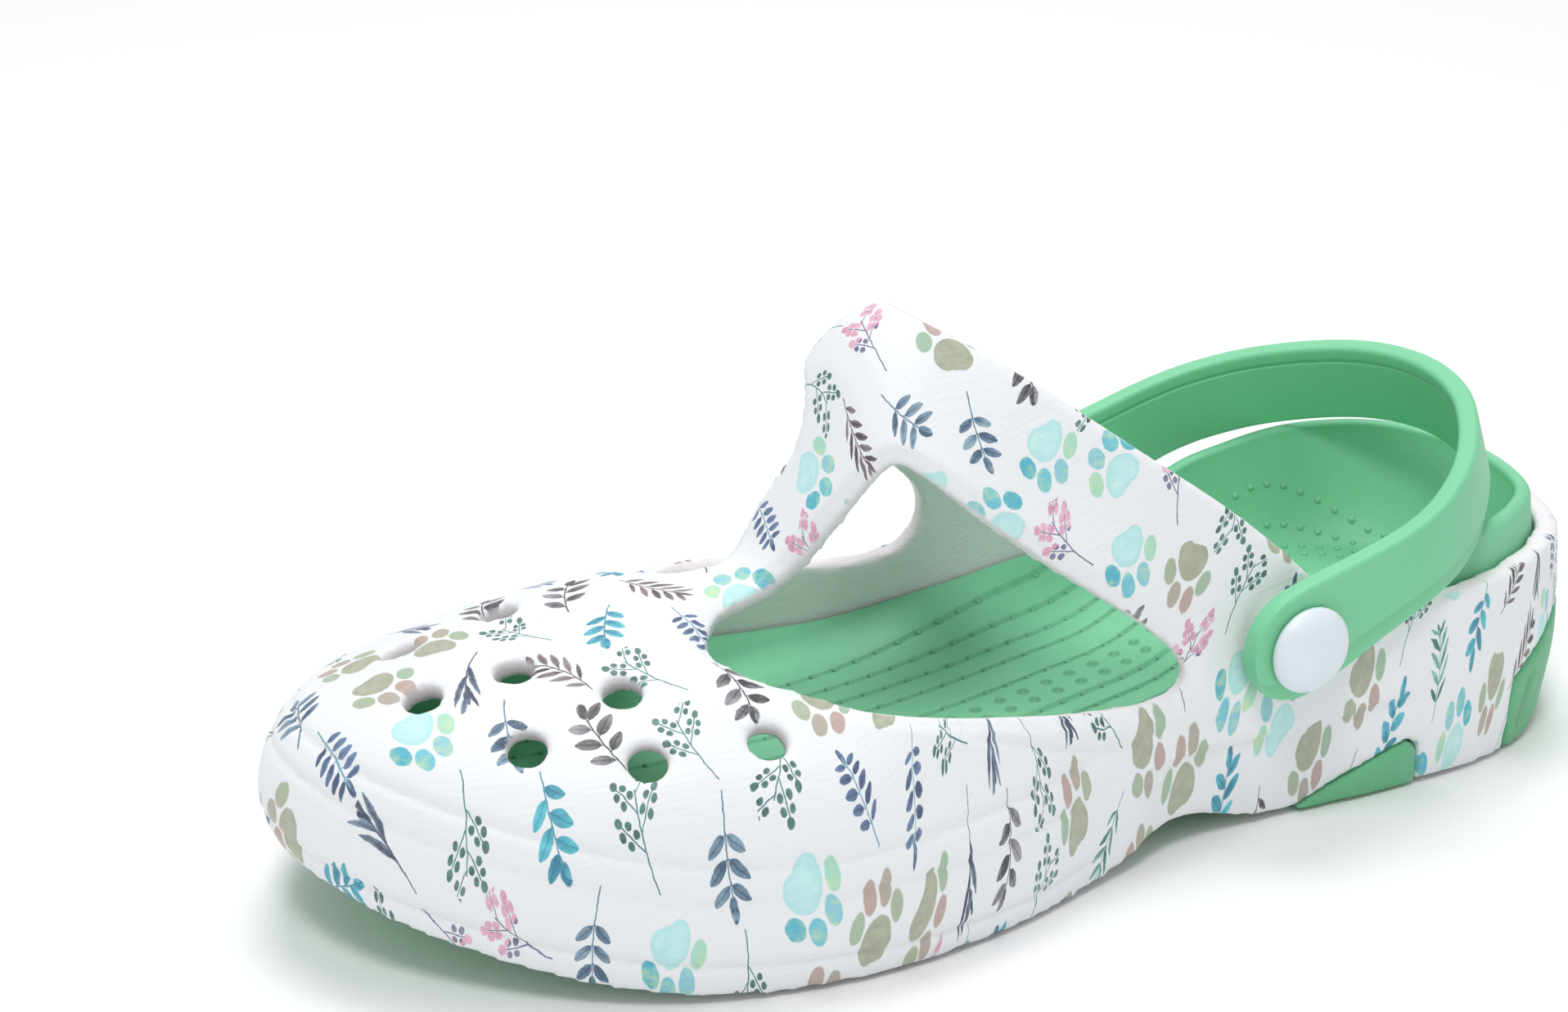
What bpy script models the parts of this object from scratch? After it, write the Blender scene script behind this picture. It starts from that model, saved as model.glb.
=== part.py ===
"""Rubber garden clog, left foot: a printed foam upper with a T-bar, a green sole unit, a footbed
with a raised heel cup, and a heel strap that turns on two button rivets.

Lengths in the tables are millimetres; every mesh is scaled to metres as it is made.
+Z is up, the toe points along -Y, and +X is the wearer's left, the lateral side of this foot."""

import math

import bmesh
import bpy
import numpy as np
from mathutils import Matrix, Vector
from mathutils.bvhtree import BVHTree

MM = 0.001

# ---- driving dimensions, millimetres ----
HALF_LENGTH = 135.0      # half the length of the ground outline
SPINE_HALF = 92.0        # half the length of the ridge that the wall sections run up to
STATIONS = 30            # steps from toe tip to heel tip
WALL_ROWS = 14           # steps from the bottom edge to the ridge
WALL = 4.6               # foam thickness of the upper
GAP = 0.4                # clearance between the moulded pieces
RIM_LIFT = 0.8           # the upper's bottom edge above the sole's ground contact
FLUSH = 0.2              # how far the green sole fills sit below the white wall's face

SOLE = [(-11.2, -135), (8.8, -130), (22, -119.5), (35, -104), (45, -86), (51, -66), (53.5, -45),
        (51, -20), (45, 3), (40.5, 26), (39.5, 50), (40.5, 75), (39.5, 98), (34, 116), (22, 129),
        (0, 135), (-22, 130), (-34, 118), (-41, 100), (-43, 75), (-41, 48), (-39, 22), (-42, -5),
        (-49, -32), (-53.5, -60), (-52, -88), (-46, -111), (-30.2, -128)]
SPINE_X = ([-92, -60, -20, 20, 60, 92], [-8, -3, 0, 0.5, -0.5, -1])
RIDGE_Z = ([-92, -80, -66, -54, -45, -36, -28, -20, -12, 5, 30, 92],
           [51.5, 54.5, 56.5, 56.6, 60, 77.5, 97.5, 104, 104, 108, 115, 125])
# Wall sections by y: widest height and bulge, then the shoulder and upper points as a share of
# the distance from the ridge with their heights. The medial side of the toe box is lower.
WALL_Y = [-135, -112, -80, -50, -25, 0, 20, 45, 75, 105, 135]
WIDEST_Z = [24, 27, 22, 18, 17, 17, 18, 18, 18, 20, 22]
BULGE = [2.9, 2.5, 2, 2, 2, 1.5, 1, 1, 1, 1.5, 2]
SHOULDER = [.93, .93, .91, .91, .93, .97, 1.0, 1.02, 1.02, 1.02, 1.02]
SHOULDER_Z = [43.4, 40, 39, 38, 36, 34, 34, 34, 32, 32, 33]
UPPER = [.50, .50, .52, .54, .565, .69, .84, .95, 1.0, 1.0, 1.0]
UPPER_Z = [50.5, 51.5, 52.5, 53.5, 73.5, 68, 62, 56, 43, 43, 43]
MEDIAL_SHOULDER_Z = [39.4, 35.5, 34.5, 34, 35.5, 34, 34, 34, 32, 32, 33]
MEDIAL_UPPER = [.55, .56, .58, .60, .565, .69, .84, .95, 1.0, 1.0, 1.0]
MEDIAL_UPPER_Z = [47, 46.7, 47.7, 48.7, 73.5, 68, 62, 56, 43, 43, 43]

# Side window: outline in (y, w) seen along a direction tilted up from the side, w across it.
WINDOW_TILT = math.radians(41)
WINDOW_LEFT = [(-65, 27.5), (-61, 21), (-54, 15), (-47, 9), (-39, 5), (-28, 2), (-16, 0), (-3, -1.5),
               (13, -2.5), (22, -1.5), (24.5, 1.4), (20.5, 6.8), (6.5, 17.4), (-4.5, 26),
               (-16, 36), (-23.5, 43.7), (-27.5, 47.8), (-30.5, 49), (-34.5, 47.2), (-39.5, 43.7),
               (-45, 40.2), (-52, 38.2), (-59, 35.5)]
WINDOW_RIGHT = [(-64, 26), (-60, 19), (-54, 13), (-47, 8), (-39, 5), (-28, 3.2), (-16, 2.6), (-4, 2.8),
                (4.5, 4.2), (8.6, 7.6), (9.2, 12.5), (6.8, 18.2), (1.5, 24), (-5, 30), (-14, 38.5),
                (-21, 46), (-26, 53), (-29.5, 58), (-32.5, 59.4), (-35.3, 56.2), (-38, 50.5),
                (-41.5, 43), (-46, 38.5), (-53, 36.2), (-60, 33)]
# Foot opening in side view (y, z): the instep strap's rear edge, then the collar to the heel.
OPENING = [(-20, 140), (-18.5, 110), (-18, 103.8), (-15.5, 102.4), (-7, 97.4), (5.5, 88.6),
           (19.5, 78), (35, 66.4), (46, 57), (53, 50), (58, 45), (63, 42), (71, 40.6), (82, 40.4), (92, 40.6),
           (101, 41.3), (110, 42.4), (122, 43), (150, 43.5), (150, 140)]
VENTS = [(5.3, -113.9), (8.4, -97.9), (24.5, -102.8), (22.9, -83.9), (36, -85.4), (40, -64.3),
         (-16.5, -109.6), (-16.1, -90.4)]
VENT_R = 4.3
# Where the green sole shows through the wall, in side view (y, z).
WEDGE = [(46, -3), (51, 0.8), (58, 3.4), (66, 6.4), (74, 9.4), (78.5, 10.7), (81.2, 9.6),
         (82, 7), (82, -3)]
BUMPER = [(150, 32), (131, 31), (124, 27.5), (116, 22.8), (110, 19.6), (106.6, 17.2), (106.2, 10),
          (106.6, -6), (150, -6)]
BUMPER_TOP = 36.0        # height of the ring the bumper is cut from
FILL_TOP = 14.0          # height of the block that ties the fills to the sole

SOLE_TOP = ([-135, -110, -80, -50, 0, 40, 80, 135], [23.5, 18.5, 16, 15, 15, 17, 19.5, 21])
TREAD_Y = [-92, -80, -68, -56, -44, -32, -20, -8, 58, 70, 82, 94, 106, 118]
TREAD_WIDTH, TREAD_DEPTH, TREAD_MARGIN = 3.0, 2.2, 7.0

FOOTBED_FLOOR = ([-135, -110, -80, -50, -15, 20, 60, 100, 135], [28.5, 23.5, 21, 20, 19.5, 21, 24, 25, 26])
RIM_LATERAL = ([-135, -60, 0, 30, 40, 57, 66, 76, 88, 100, 115, 135],
               [4, 3, 3, 5, 6, 6, 14, 19, 21.5, 23.5, 24.3, 24]) # above the footbed floor
RIM_MEDIAL = ([-135, -60, -13, 12, 31, 40, 57, 66, 76, 88, 100, 115, 135],
              [4, 3, 4.5, 7.5, 8.5, 8, 6.5, 14, 19, 21.5, 23.5, 24.3, 24])
SLOPE_LATERAL = ([-135, 0, 60, 100, 135], [6, 7, 10, 13, 13])
SLOPE_MEDIAL = ([-135, -60, -20, 30, 60, 100, 135], [6, 9, 20, 20, 12, 13, 13])
CUP_WALL = 3.2           # thickness of the footbed's rim and heel cup

PIVOT_Y, PIVOT_Z = 46.6, 40.0
REST_ANGLE = math.radians(20)
STRAP_THICK = 4.2
STRAP_CENTRE_X = -1.3
# Strap centreline in its own plane: distance from the pivot, half span, half band width.
STRAP = [(-11.6, 45.2, 1.6), (-11.0, 45.2, 4.1), (-9.1, 45.2, 7.4), (-5.8, 45.2, 10.1),
         (-2, 45.2, 11.4), (3, 45.2, 11.5), (10, 45.2, 10.9), (18, 45.2, 10.0), (29, 44.9, 9.2),
         (37, 43.3, 9.0), (44, 40.3, 9.0), (50.7, 36.0, 9.0), (56.8, 30.4, 9.0), (62.3, 23.8, 9.0),
         (66.7, 16.6, 9.0), (69.5, 8.6, 9.0), (70.5, 0.0, 9.0)]
STEP_DROP, STEP_FROM = 0.8, 0.55   # the band's outer face steps in over its lower edge

BORE_R, POST_R, HOLE_R = 2.9, 2.6, 2.7
CAP_R, CAP_RISE = 8.5, 3.4
BOSS_R, BOSS_FACE, BOSS_INNER = 7.6, 42.8, 33.4
CLASP_R, CLASP_THICK, SOCKET_R = 6.8, 2.0, 2.75

WHITE, GREEN = (0.86, 0.87, 0.88, 1), (0.16, 0.50, 0.25, 1)
SOLE_GREEN, STRAP_GREEN = (0.14, 0.46, 0.22, 1), (0.15, 0.49, 0.24, 1)


def clear_scene():
    for obj in list(bpy.data.objects):
        bpy.data.objects.remove(obj)


def hermite(table, x):
    """Smooth value of a (positions, values) table at x."""
    xs, vs = (np.asarray(part, float) for part in table)
    x = np.clip(x, xs[0], xs[-1])
    step = np.diff(xs)
    slope = np.diff(vs) / step
    inner = (slope[:-1] * step[1:] + slope[1:] * step[:-1]) / (step[:-1] + step[1:])
    m = np.concatenate([slope[:1], inner, slope[-1:]])
    i = np.clip(np.searchsorted(xs, x) - 1, 0, len(step) - 1)
    t, h = (x - xs[i]) / step[i], step[i]
    return (vs[i] * (1 + 2 * t) * (1 - t) ** 2 + m[i] * h * t * (1 - t) ** 2
            + vs[i + 1] * t * t * (3 - 2 * t) - m[i + 1] * h * t * t * (1 - t))


def closed_curve(points, per_side):
    """Catmull-Rom curve through a closed list of points."""
    p = np.asarray(points, float)
    a, b, c, d = (np.roll(p, k, 0)[:, None] for k in (1, 0, -1, -2))
    t = (np.arange(per_side) / per_side)[None, :, None]
    q = 0.5 * (2 * b + (c - a) * t + (2 * a - 5 * b + 4 * c - d) * t ** 2 + (3 * b - a - 3 * c + d) * t ** 3)
    return q.reshape(-1, p.shape[1])


def spine_y(y):
    reach = np.minimum(np.abs(y) / HALF_LENGTH, 1)
    return np.sign(y) * SPINE_HALF * (1 - (1 - reach) ** (HALF_LENGTH / SPINE_HALF))


def ground_z(y):
    """Bottom edge: toe spring, raised heel end and the arch at the waist."""
    toe = 16.3 * (np.clip(-66 - y, 0, None) / 69) ** 1.9
    heel = 6 * (np.clip(y - 104, 0, None) / 31) ** 2
    return toe + heel + 5.5 * np.exp(-((y - 24) / 15) ** 2)


def outline_stations():
    """Ground outline as a ring: lateral side from toe to heel, then the medial side back."""
    curve = closed_curve(SOLE, 60)
    toe, heel = curve[:, 1].argmin(), curve[:, 1].argmax()
    curve = np.roll(curve, -toe, 0)
    heel = (heel - toe) % len(curve)
    lateral, medial = curve[:heel + 1], np.vstack([curve[heel:], curve[:1]])
    angle = np.linspace(0, math.pi, STATIONS + 1)
    low, high = curve[:, 1].min(), curve[:, 1].max()
    y = (low + high) / 2 - (high - low) / 2 * np.cos(angle)
    left = np.interp(y, lateral[:, 1], lateral[:, 0])
    right = np.interp(y, medial[::-1, 1], medial[::-1, 0])
    ring = [(left[k], y[k]) for k in range(STATIONS + 1)]
    return np.array(ring + [(right[k], y[k]) for k in range(STATIONS - 1, 0, -1)])


def wall_section(point, rows):
    """One wall section from the bottom edge up to the ridge."""
    y = point[1]
    ridge_y = spine_y(y)
    ridge_x = hermite(SPINE_X, ridge_y)
    away = np.array([point[0] - ridge_x, y - ridge_y])
    reach = np.linalg.norm(away)
    away /= reach
    medial = 0.5 - 0.5 * math.sin(math.pi / 2 * min(max(away[0] / 0.6, -1), 1))

    def at(lateral_values, medial_values=None):
        value = hermite((WALL_Y, lateral_values), y)
        other = hermite((WALL_Y, medial_values or lateral_values), y)
        return value + (other - value) * medial

    p = np.array([(reach, ground_z(y)), (reach + at(BULGE), at(WIDEST_Z)),
                  (reach * at(SHOULDER), at(SHOULDER_Z, MEDIAL_SHOULDER_Z)),
                  (reach * at(UPPER, MEDIAL_UPPER), at(UPPER_Z, MEDIAL_UPPER_Z)),
                  (0, hermite(RIDGE_Z, ridge_y))])
    along = np.concatenate([[0], np.cumsum(np.linalg.norm(np.diff(p, axis=0), axis=1))])
    h = np.diff(along)[:, None]
    slope = np.diff(p, axis=0) / h
    inner = (slope[:-1] * h[1:] + slope[1:] * h[:-1]) / (h[:-1] + h[1:])
    m = np.vstack([slope[:1], inner, [(-1, 0)]])
    s = np.linspace(0, along[-1], rows + 1)
    i = np.clip(np.searchsorted(along, s, side="right") - 1, 0, 3)
    t, h = ((s - along[i]) / h[i, 0])[:, None], h[i]
    q = (p[i] * (1 + 2 * t) * (1 - t) ** 2 + m[i] * h * t * (1 - t) ** 2
         + p[i + 1] * t * t * (3 - 2 * t) - m[i + 1] * h * t * t * (1 - t))
    return np.column_stack([ridge_x + away[0] * q[:, 0], ridge_y + away[1] * q[:, 0], q[:, 1]])


def wall_grid(rows):
    return np.array([wall_section(point, rows) for point in outline_stations()])


def grid_normals(grid):
    around = np.roll(grid, -1, 0) - np.roll(grid, 1, 0)
    up = np.gradient(grid, axis=1)
    normal = np.cross(around, up)
    return normal / np.maximum(np.linalg.norm(normal, axis=2, keepdims=True), 1e-9)


FINE = wall_grid(90)
FINE_NORMALS = grid_normals(FINE)


def ring_at(depth, heights):
    """Ring of points at this depth under the wall's face and at the given height per section."""
    inset = FINE - FINE_NORMALS * depth
    heights = np.broadcast_to(heights, len(FINE))
    out = np.empty((len(FINE), 3))
    for s, z in enumerate(heights):
        rise = np.maximum.accumulate(inset[s, :60, 2])
        out[s] = [np.interp(z, rise, inset[s, :60, c]) for c in (0, 1, 2)]
        out[s, 2] = z
    return out


def moved_in(ring, distance):
    """The ring shifted inwards, level, by a distance per section."""
    ahead = np.roll(ring, -1, 0) - np.roll(ring, 1, 0)
    normal = np.column_stack([ahead[:, 1], -ahead[:, 0]])
    normal /= np.linalg.norm(normal, axis=1, keepdims=True)
    out = ring.copy()
    out[:, :2] -= normal * np.broadcast_to(distance, len(ring))[:, None]
    return out


def ring_table(lateral, medial=None):
    """Table value per section, with its own table for the medial side."""
    y = FINE[:, 0, 1]
    value = hermite(lateral, y)
    if medial is not None:
        value[STATIONS + 1:] = hermite(medial, y)[STATIONS + 1:]
        for k in (0, STATIONS):
            value[k] = (value[k - 1] + value[k + 1]) / 2
    return value


def new_object(name, verts, faces, material=None, keep=True):
    mesh = bpy.data.meshes.new(name)
    mesh.from_pydata([tuple(np.asarray(v, float) * MM) for v in verts], [], [tuple(map(int, f)) for f in faces])
    mesh.validate()
    if material:
        mesh.materials.append(material)
    obj = bpy.data.objects.new(name, mesh)
    (PARTS if keep else CUTTERS).objects.link(obj)
    if not keep:
        obj.hide_render = True
        obj.display_type = "WIRE"
    return obj


def recalculate(obj):
    bm = bmesh.new()
    bm.from_mesh(obj.data)
    bmesh.ops.recalc_face_normals(bm, faces=bm.faces)
    bm.to_mesh(obj.data)
    bm.free()
    return obj


def cap_faces(verts, first, upward, columns=1):
    """Strips across a ring that starts at index first; inner columns add points."""
    count = 2 * STATIONS
    rows = []
    for k in range(STATIONS + 1):
        left, right = first + k, first + (count - k) % count
        row = [left]
        if left != right:
            for c in range(1, columns):
                verts.append(verts[left] + (verts[right] - verts[left]) * c / columns)
                row.append(len(verts) - 1)
            row.append(right)
        rows.append(row)
    faces = []
    for a, b in zip(rows, rows[1:]):
        if len(a) == 1 or len(b) == 1:
            fan, tip = (b, a[0]) if len(a) == 1 else (a, b[0])
            faces += [(tip, p, q) if len(a) == 1 else (p, tip, q) for p, q in zip(fan, fan[1:])]
        else:
            faces += [(a[c], b[c], b[c + 1], a[c + 1]) for c in range(columns)]
    return [f if upward else f[::-1] for f in faces]


def ring_solid(name, rings, material=None, keep=True, bottom_columns=1, top_columns=1):
    """Closed body through a stack of rings, with strips across the first and the last."""
    count = 2 * STATIONS
    verts = [point for ring in rings for point in ring]
    faces = []
    for r in range(len(rings) - 1):
        for s in range(count):
            a, b = r * count + s, r * count + (s + 1) % count
            faces.append((a, b, b + count, a + count))
    faces += cap_faces(verts, (len(rings) - 1) * count, True, top_columns)
    faces += cap_faces(verts, 0, False, bottom_columns)
    return recalculate(new_object(name, verts, faces, material, keep))


def prism(name, outline, x_from, x_to):
    """Side-view outline in (y, z) run across in x: a cutter."""
    n = len(outline)
    verts = [(x, y, z) for x in (x_from, x_to) for y, z in outline]
    faces = [(i, (i + 1) % n, n + (i + 1) % n, n + i) for i in range(n)]
    faces += [tuple(range(n))[::-1], tuple(range(n, 2 * n))]
    return recalculate(new_object(name, verts, faces, keep=False))


def inset_outline(outline, distance):
    """The outline moved inwards by a distance."""
    p = np.asarray(outline, float)
    edge = np.roll(p, -1, 0) - p
    turn = np.sign(np.sum(p[:, 0] * np.roll(p[:, 1], -1) - np.roll(p[:, 0], -1) * p[:, 1]))
    normal = np.column_stack([-edge[:, 1], edge[:, 0]]) * turn
    normal /= np.linalg.norm(normal, axis=1, keepdims=True)
    before = np.roll(normal, 1, 0)
    mitre = normal + before
    return p + mitre * distance / (1 + np.sum(normal * before, axis=1))[:, None]


def join(name, objects, keep=False):
    """One cutter mesh from several that don't touch."""
    bm = bmesh.new()
    for obj in objects:
        bm.from_mesh(obj.data)
        bpy.data.objects.remove(obj)
    joined = new_object(name, [], [], keep=keep)
    bm.to_mesh(joined.data)
    bm.free()
    return joined


def cylinder(name, centre, axis, radius, length, sides=28):
    """Closed cylinder centred on a point: a cutter or a boss."""
    bm = bmesh.new()
    bmesh.ops.create_cone(bm, cap_ends=True, segments=sides, radius1=radius * MM, radius2=radius * MM,
                          depth=length * MM)
    turn = Vector(axis).to_track_quat("Z", "Y").to_matrix().to_4x4()
    bm.transform(Matrix.Translation(Vector(centre) * MM) @ turn)
    obj = new_object(name, [], [], keep=False)
    bm.to_mesh(obj.data)
    bm.free()
    return obj


def boolean(obj, other, operation="DIFFERENCE"):
    modifier = obj.modifiers.new(f"{operation.lower()} {other.name}", "BOOLEAN")
    modifier.operation = operation
    modifier.solver = "EXACT"
    modifier.object = other


def make_material(name, colour, roughness):
    material = bpy.data.materials.new(name)
    material.use_nodes = True
    shader = material.node_tree.nodes["Principled BSDF"]
    shader.inputs["Base Color"].default_value = colour
    shader.inputs["Roughness"].default_value = roughness
    material.diffuse_color = colour
    return material


def dome_mesh():
    """The wall's outer face as a sheet, closed along the ridge and open at the bottom."""
    grid = wall_grid(WALL_ROWS)
    grid[:, 0, 2] += RIM_LIFT
    count, rows = 2 * STATIONS, WALL_ROWS
    verts = [grid[s, j] for j in range(rows) for s in range(count)]
    ridge = len(verts)
    verts += [grid[k, rows] for k in range(STATIONS + 1)]
    top = [ridge + (k if k <= STATIONS else count - k) for k in range(count)]
    faces = []
    for j in range(rows):
        for s in range(count):
            n = (s + 1) % count
            a, b = j * count + s, j * count + n
            c, d = (top[n], top[s]) if j == rows - 1 else (b + count, a + count)
            faces.append((a, b, c, d))
    return verts, faces


def window_cutter(name, side, window):
    """Prism through one side of the upper, along a direction tilted up from the side."""
    outline = closed_curve(window, 3)
    c, s = math.cos(WINDOW_TILT), math.sin(WINDOW_TILT)
    n = len(outline)
    verts = [(side * (-w * s + t * c), y, w * c + t * s) for t in (32, 110) for y, w in outline]
    faces = [(i, (i + 1) % n, n + (i + 1) % n, n + i) for i in range(n)]
    faces += [tuple(range(n))[::-1], tuple(range(n, 2 * n))]
    return recalculate(new_object(name, verts, faces, keep=False))


def vent_cutters(verts, faces):
    tree = BVHTree.FromPolygons([Vector(v) for v in verts], faces)
    made = []
    for i, (x, y) in enumerate(VENTS):
        hit, normal, _, _ = tree.ray_cast(Vector((x, y, 200)), Vector((0, 0, -1)))
        made.append(cylinder(f"vent_{i}", hit - normal * 2, normal, VENT_R, 20, 24))
    return join("vent_cutters", made)


def build_upper(white):
    verts, faces = dome_mesh()
    upper = new_object("upper_shell", verts, faces, white)
    wall = upper.modifiers.new("foam wall", "SOLIDIFY")
    wall.thickness = WALL * MM
    wall.offset = -1
    span = BOSS_FACE - BOSS_INNER
    for side, label in ((1, "left"), (-1, "right")):
        x = STRAP_CENTRE_X + side * (BOSS_FACE + BOSS_INNER) / 2
        boolean(upper, cylinder(f"rivet_boss_{label}", (x, PIVOT_Y, PIVOT_Z), (1, 0, 0), BOSS_R, span), "UNION")
    boolean(upper, prism("foot_opening", OPENING, -80, 80))
    boolean(upper, window_cutter("window_left", 1, WINDOW_LEFT))
    boolean(upper, window_cutter("window_right", -1, WINDOW_RIGHT))
    boolean(upper, vent_cutters(verts, faces))
    bores = [cylinder(f"bore_{side}", (side * 40, PIVOT_Y, PIVOT_Z), (1, 0, 0), BORE_R, 30)
             for side in (1, -1)]
    boolean(upper, join("rivet_bores", bores))
    boolean(upper, prism("bumper_notch", BUMPER, -80, 80))
    wedges = [prism(f"wedge_{side}", WEDGE, side * 15, side * 80) for side in (1, -1)]
    boolean(upper, join("wedge_notches", wedges))
    return upper


def build_outsole(green):
    """Sole unit: a plug inside the wall, with a wedge each side and a heel bumper that show."""
    y = FINE[:, 0, 1]
    ground, top = ground_z(y), hermite(SOLE_TOP, y)
    depth = WALL + GAP
    rings = [ring_at(depth + 0.9, ground), ring_at(depth, ground + 0.9),
             ring_at(depth, (ground + top) / 2), ring_at(depth, top - 0.6), ring_at(depth + 0.6, top)]
    outsole = ring_solid("outsole", rings, green)
    keeper = fill_prisms()
    cup = fill_cup(ground)
    boolean(cup, keeper, "INTERSECT")
    boolean(outsole, cup, "UNION")
    boolean(outsole, tread_cutters())
    return outsole


def fill_prisms():
    """What the fills may fill: the wall's notches less the clearance."""
    wedge = inset_outline(WEDGE, GAP)
    pieces = [prism(f"wedge_fill_{side}", wedge, side * 20, side * 80) for side in (1, -1)]
    pieces.append(prism("bumper_fill", inset_outline(BUMPER, GAP), -80, 80))
    return join("fill_prisms", pieces)


def fill_cup(ground):
    """Cup that follows the wall's face: the visible fills are cut from it."""
    low = ground + 0.4
    levels = np.linspace(0, 1, 6)[:, None]
    outer = [ring_at(FLUSH, low + (BUMPER_TOP - low) * t) for t in levels]
    inner = [ring_at(WALL, BUMPER_TOP + (FILL_TOP + 6 - BUMPER_TOP) * t) for t in levels]
    inner.append(ring_at(WALL, np.maximum(FILL_TOP, low + 2)))
    return ring_solid("fill_cup", [ring_at(FLUSH + 0.6, ground)] + outer + inner, keep=False)


def tread_cutters():
    """Straight grooves across the forefoot and the heel, inside the sole's edge."""
    edge = ring_at(WALL + GAP + TREAD_MARGIN, ground_z(FINE[:, 0, 1]) + 1)
    bars = []
    for i, y in enumerate(TREAD_Y):
        left = np.interp(y, edge[:STATIONS + 1, 1], edge[:STATIONS + 1, 0])
        order = edge[STATIONS:][::-1]
        right = np.interp(y, order[:, 1], order[:, 0])
        z = float(ground_z(np.array(y + 0.0)))
        outline = [(y - TREAD_WIDTH / 2, z - 3), (y + TREAD_WIDTH / 2, z - 3),
                   (y + TREAD_WIDTH / 2 - 0.4, z + TREAD_DEPTH), (y - TREAD_WIDTH / 2 + 0.4, z + TREAD_DEPTH)]
        bars.append(prism(f"tread_{i}", outline, right, left))
    return join("tread_grooves", bars)


def build_footbed(green):
    """Insole tray: a thin floor with a rim that grows into the arch and the heel cup."""
    y = FINE[:, 0, 1]
    under = hermite(SOLE_TOP, y) + GAP
    floor = hermite(FOOTBED_FLOOR, y)
    rim = floor + ring_table(RIM_LATERAL, RIM_MEDIAL)
    slope = ring_table(SLOPE_LATERAL, SLOPE_MEDIAL)
    depth = WALL + GAP + 0.1
    rings = [ring_at(depth + 0.8, under), ring_at(depth, under + 0.8),
             ring_at(depth, under * 0.5 + (rim - 1) * 0.5), ring_at(depth, rim - 1.0),
             ring_at(depth + 0.8, rim - 0.1), ring_at(depth + CUP_WALL * 0.62, rim),
             ring_at(depth + CUP_WALL, rim - 0.9)]
    inner = rings[-1]
    for t in (0.18, 0.4, 0.65, 1.0):
        ring = moved_in(inner, slope * t)
        ring[:, 2] = floor + (inner[:, 2] - floor) * (1 - t) ** 2.4
        rings.append(ring)
    return ring_solid("footbed", rings, green, bottom_columns=1, top_columns=4)


def strap_path():
    """Centreline points and half widths from the left paddle round to the right one."""
    table = np.array(STRAP)
    left = table.copy()
    right = table[-2::-1].copy()
    right[:, 1] *= -1
    return np.vstack([left, right])


def strap_profile(half):
    """Band section as (across, out) offsets from the centreline, anticlockwise."""
    t, r = STRAP_THICK / 2, 0.9
    step = -half * STEP_FROM
    return [(-half, -t + r), (-half + r, -t), (half - r, -t), (half, -t + r), (half, t - r),
            (half - r, t), (step + 0.5, t), (step - 0.5, t - STEP_DROP), (-half + r, t - STEP_DROP),
            (-half, t - STEP_DROP - r * 0.6)]


def build_strap(green):
    """U-shaped heel strap, modelled about the rivets' axis and turned up to its rest angle."""
    path = strap_path()
    along = np.gradient(path[:, :2], axis=0)
    along[[0, 1, 2, 3, -4, -3, -2, -1]] = [(1, 0)] * 4 + [(-1, 0)] * 4
    along /= np.linalg.norm(along, axis=1, keepdims=True)
    out = np.column_stack([-along[:, 1], along[:, 0]])
    verts, faces = [], []
    for (s, x, half), o in zip(path, out):
        for across, rise in strap_profile(half):
            verts.append((x + o[1] * rise, s + o[0] * rise, across))
    n, rings = len(strap_profile(5)), len(path)
    for r in range(rings - 1):
        for i in range(n):
            j = (i + 1) % n
            faces.append((r * n + i, r * n + j, (r + 1) * n + j, (r + 1) * n + i))
    faces += [tuple(range(n)), tuple(range((rings - 1) * n, rings * n))]
    strap = recalculate(new_object("heel_strap", verts, faces, green))
    strap.matrix_world = (Matrix.Translation(Vector((STRAP_CENTRE_X, PIVOT_Y, PIVOT_Z)) * MM)
                          @ Matrix.Rotation(REST_ANGLE, 4, "X"))
    holes = [cylinder(f"hole_{side}", (side * 45, PIVOT_Y, PIVOT_Z), (1, 0, 0), HOLE_R, 20)
             for side in (1, -1)]
    boolean(strap, join("strap_holes", holes))
    return strap


def turned(name, profile, side, material, sides=32):
    """Turned piece on the rivet axis: profile of (x from the middle, radius), ends on the axis."""
    n = len(profile)
    verts, faces = [], []
    for i in range(sides):
        a = 2 * math.pi * i / sides
        for x, r in profile[1:-1]:
            verts.append((STRAP_CENTRE_X + side * x, PIVOT_Y + r * math.cos(a), PIVOT_Z + r * math.sin(a)))
    m = n - 2
    for i in range(sides):
        k = (i + 1) % sides
        faces += [(i * m + j, i * m + j + 1, k * m + j + 1, k * m + j) for j in range(m - 1)]
    verts += [(STRAP_CENTRE_X + side * profile[0][0], PIVOT_Y, PIVOT_Z),
              (STRAP_CENTRE_X + side * profile[-1][0], PIVOT_Y, PIVOT_Z)]
    first, last = len(verts) - 2, len(verts) - 1
    for i in range(sides):
        k = (i + 1) % sides
        faces += [(first, i * m, k * m), (last, k * m + m - 1, i * m + m - 1)]
    return recalculate(new_object(name, verts, faces, material))


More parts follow.
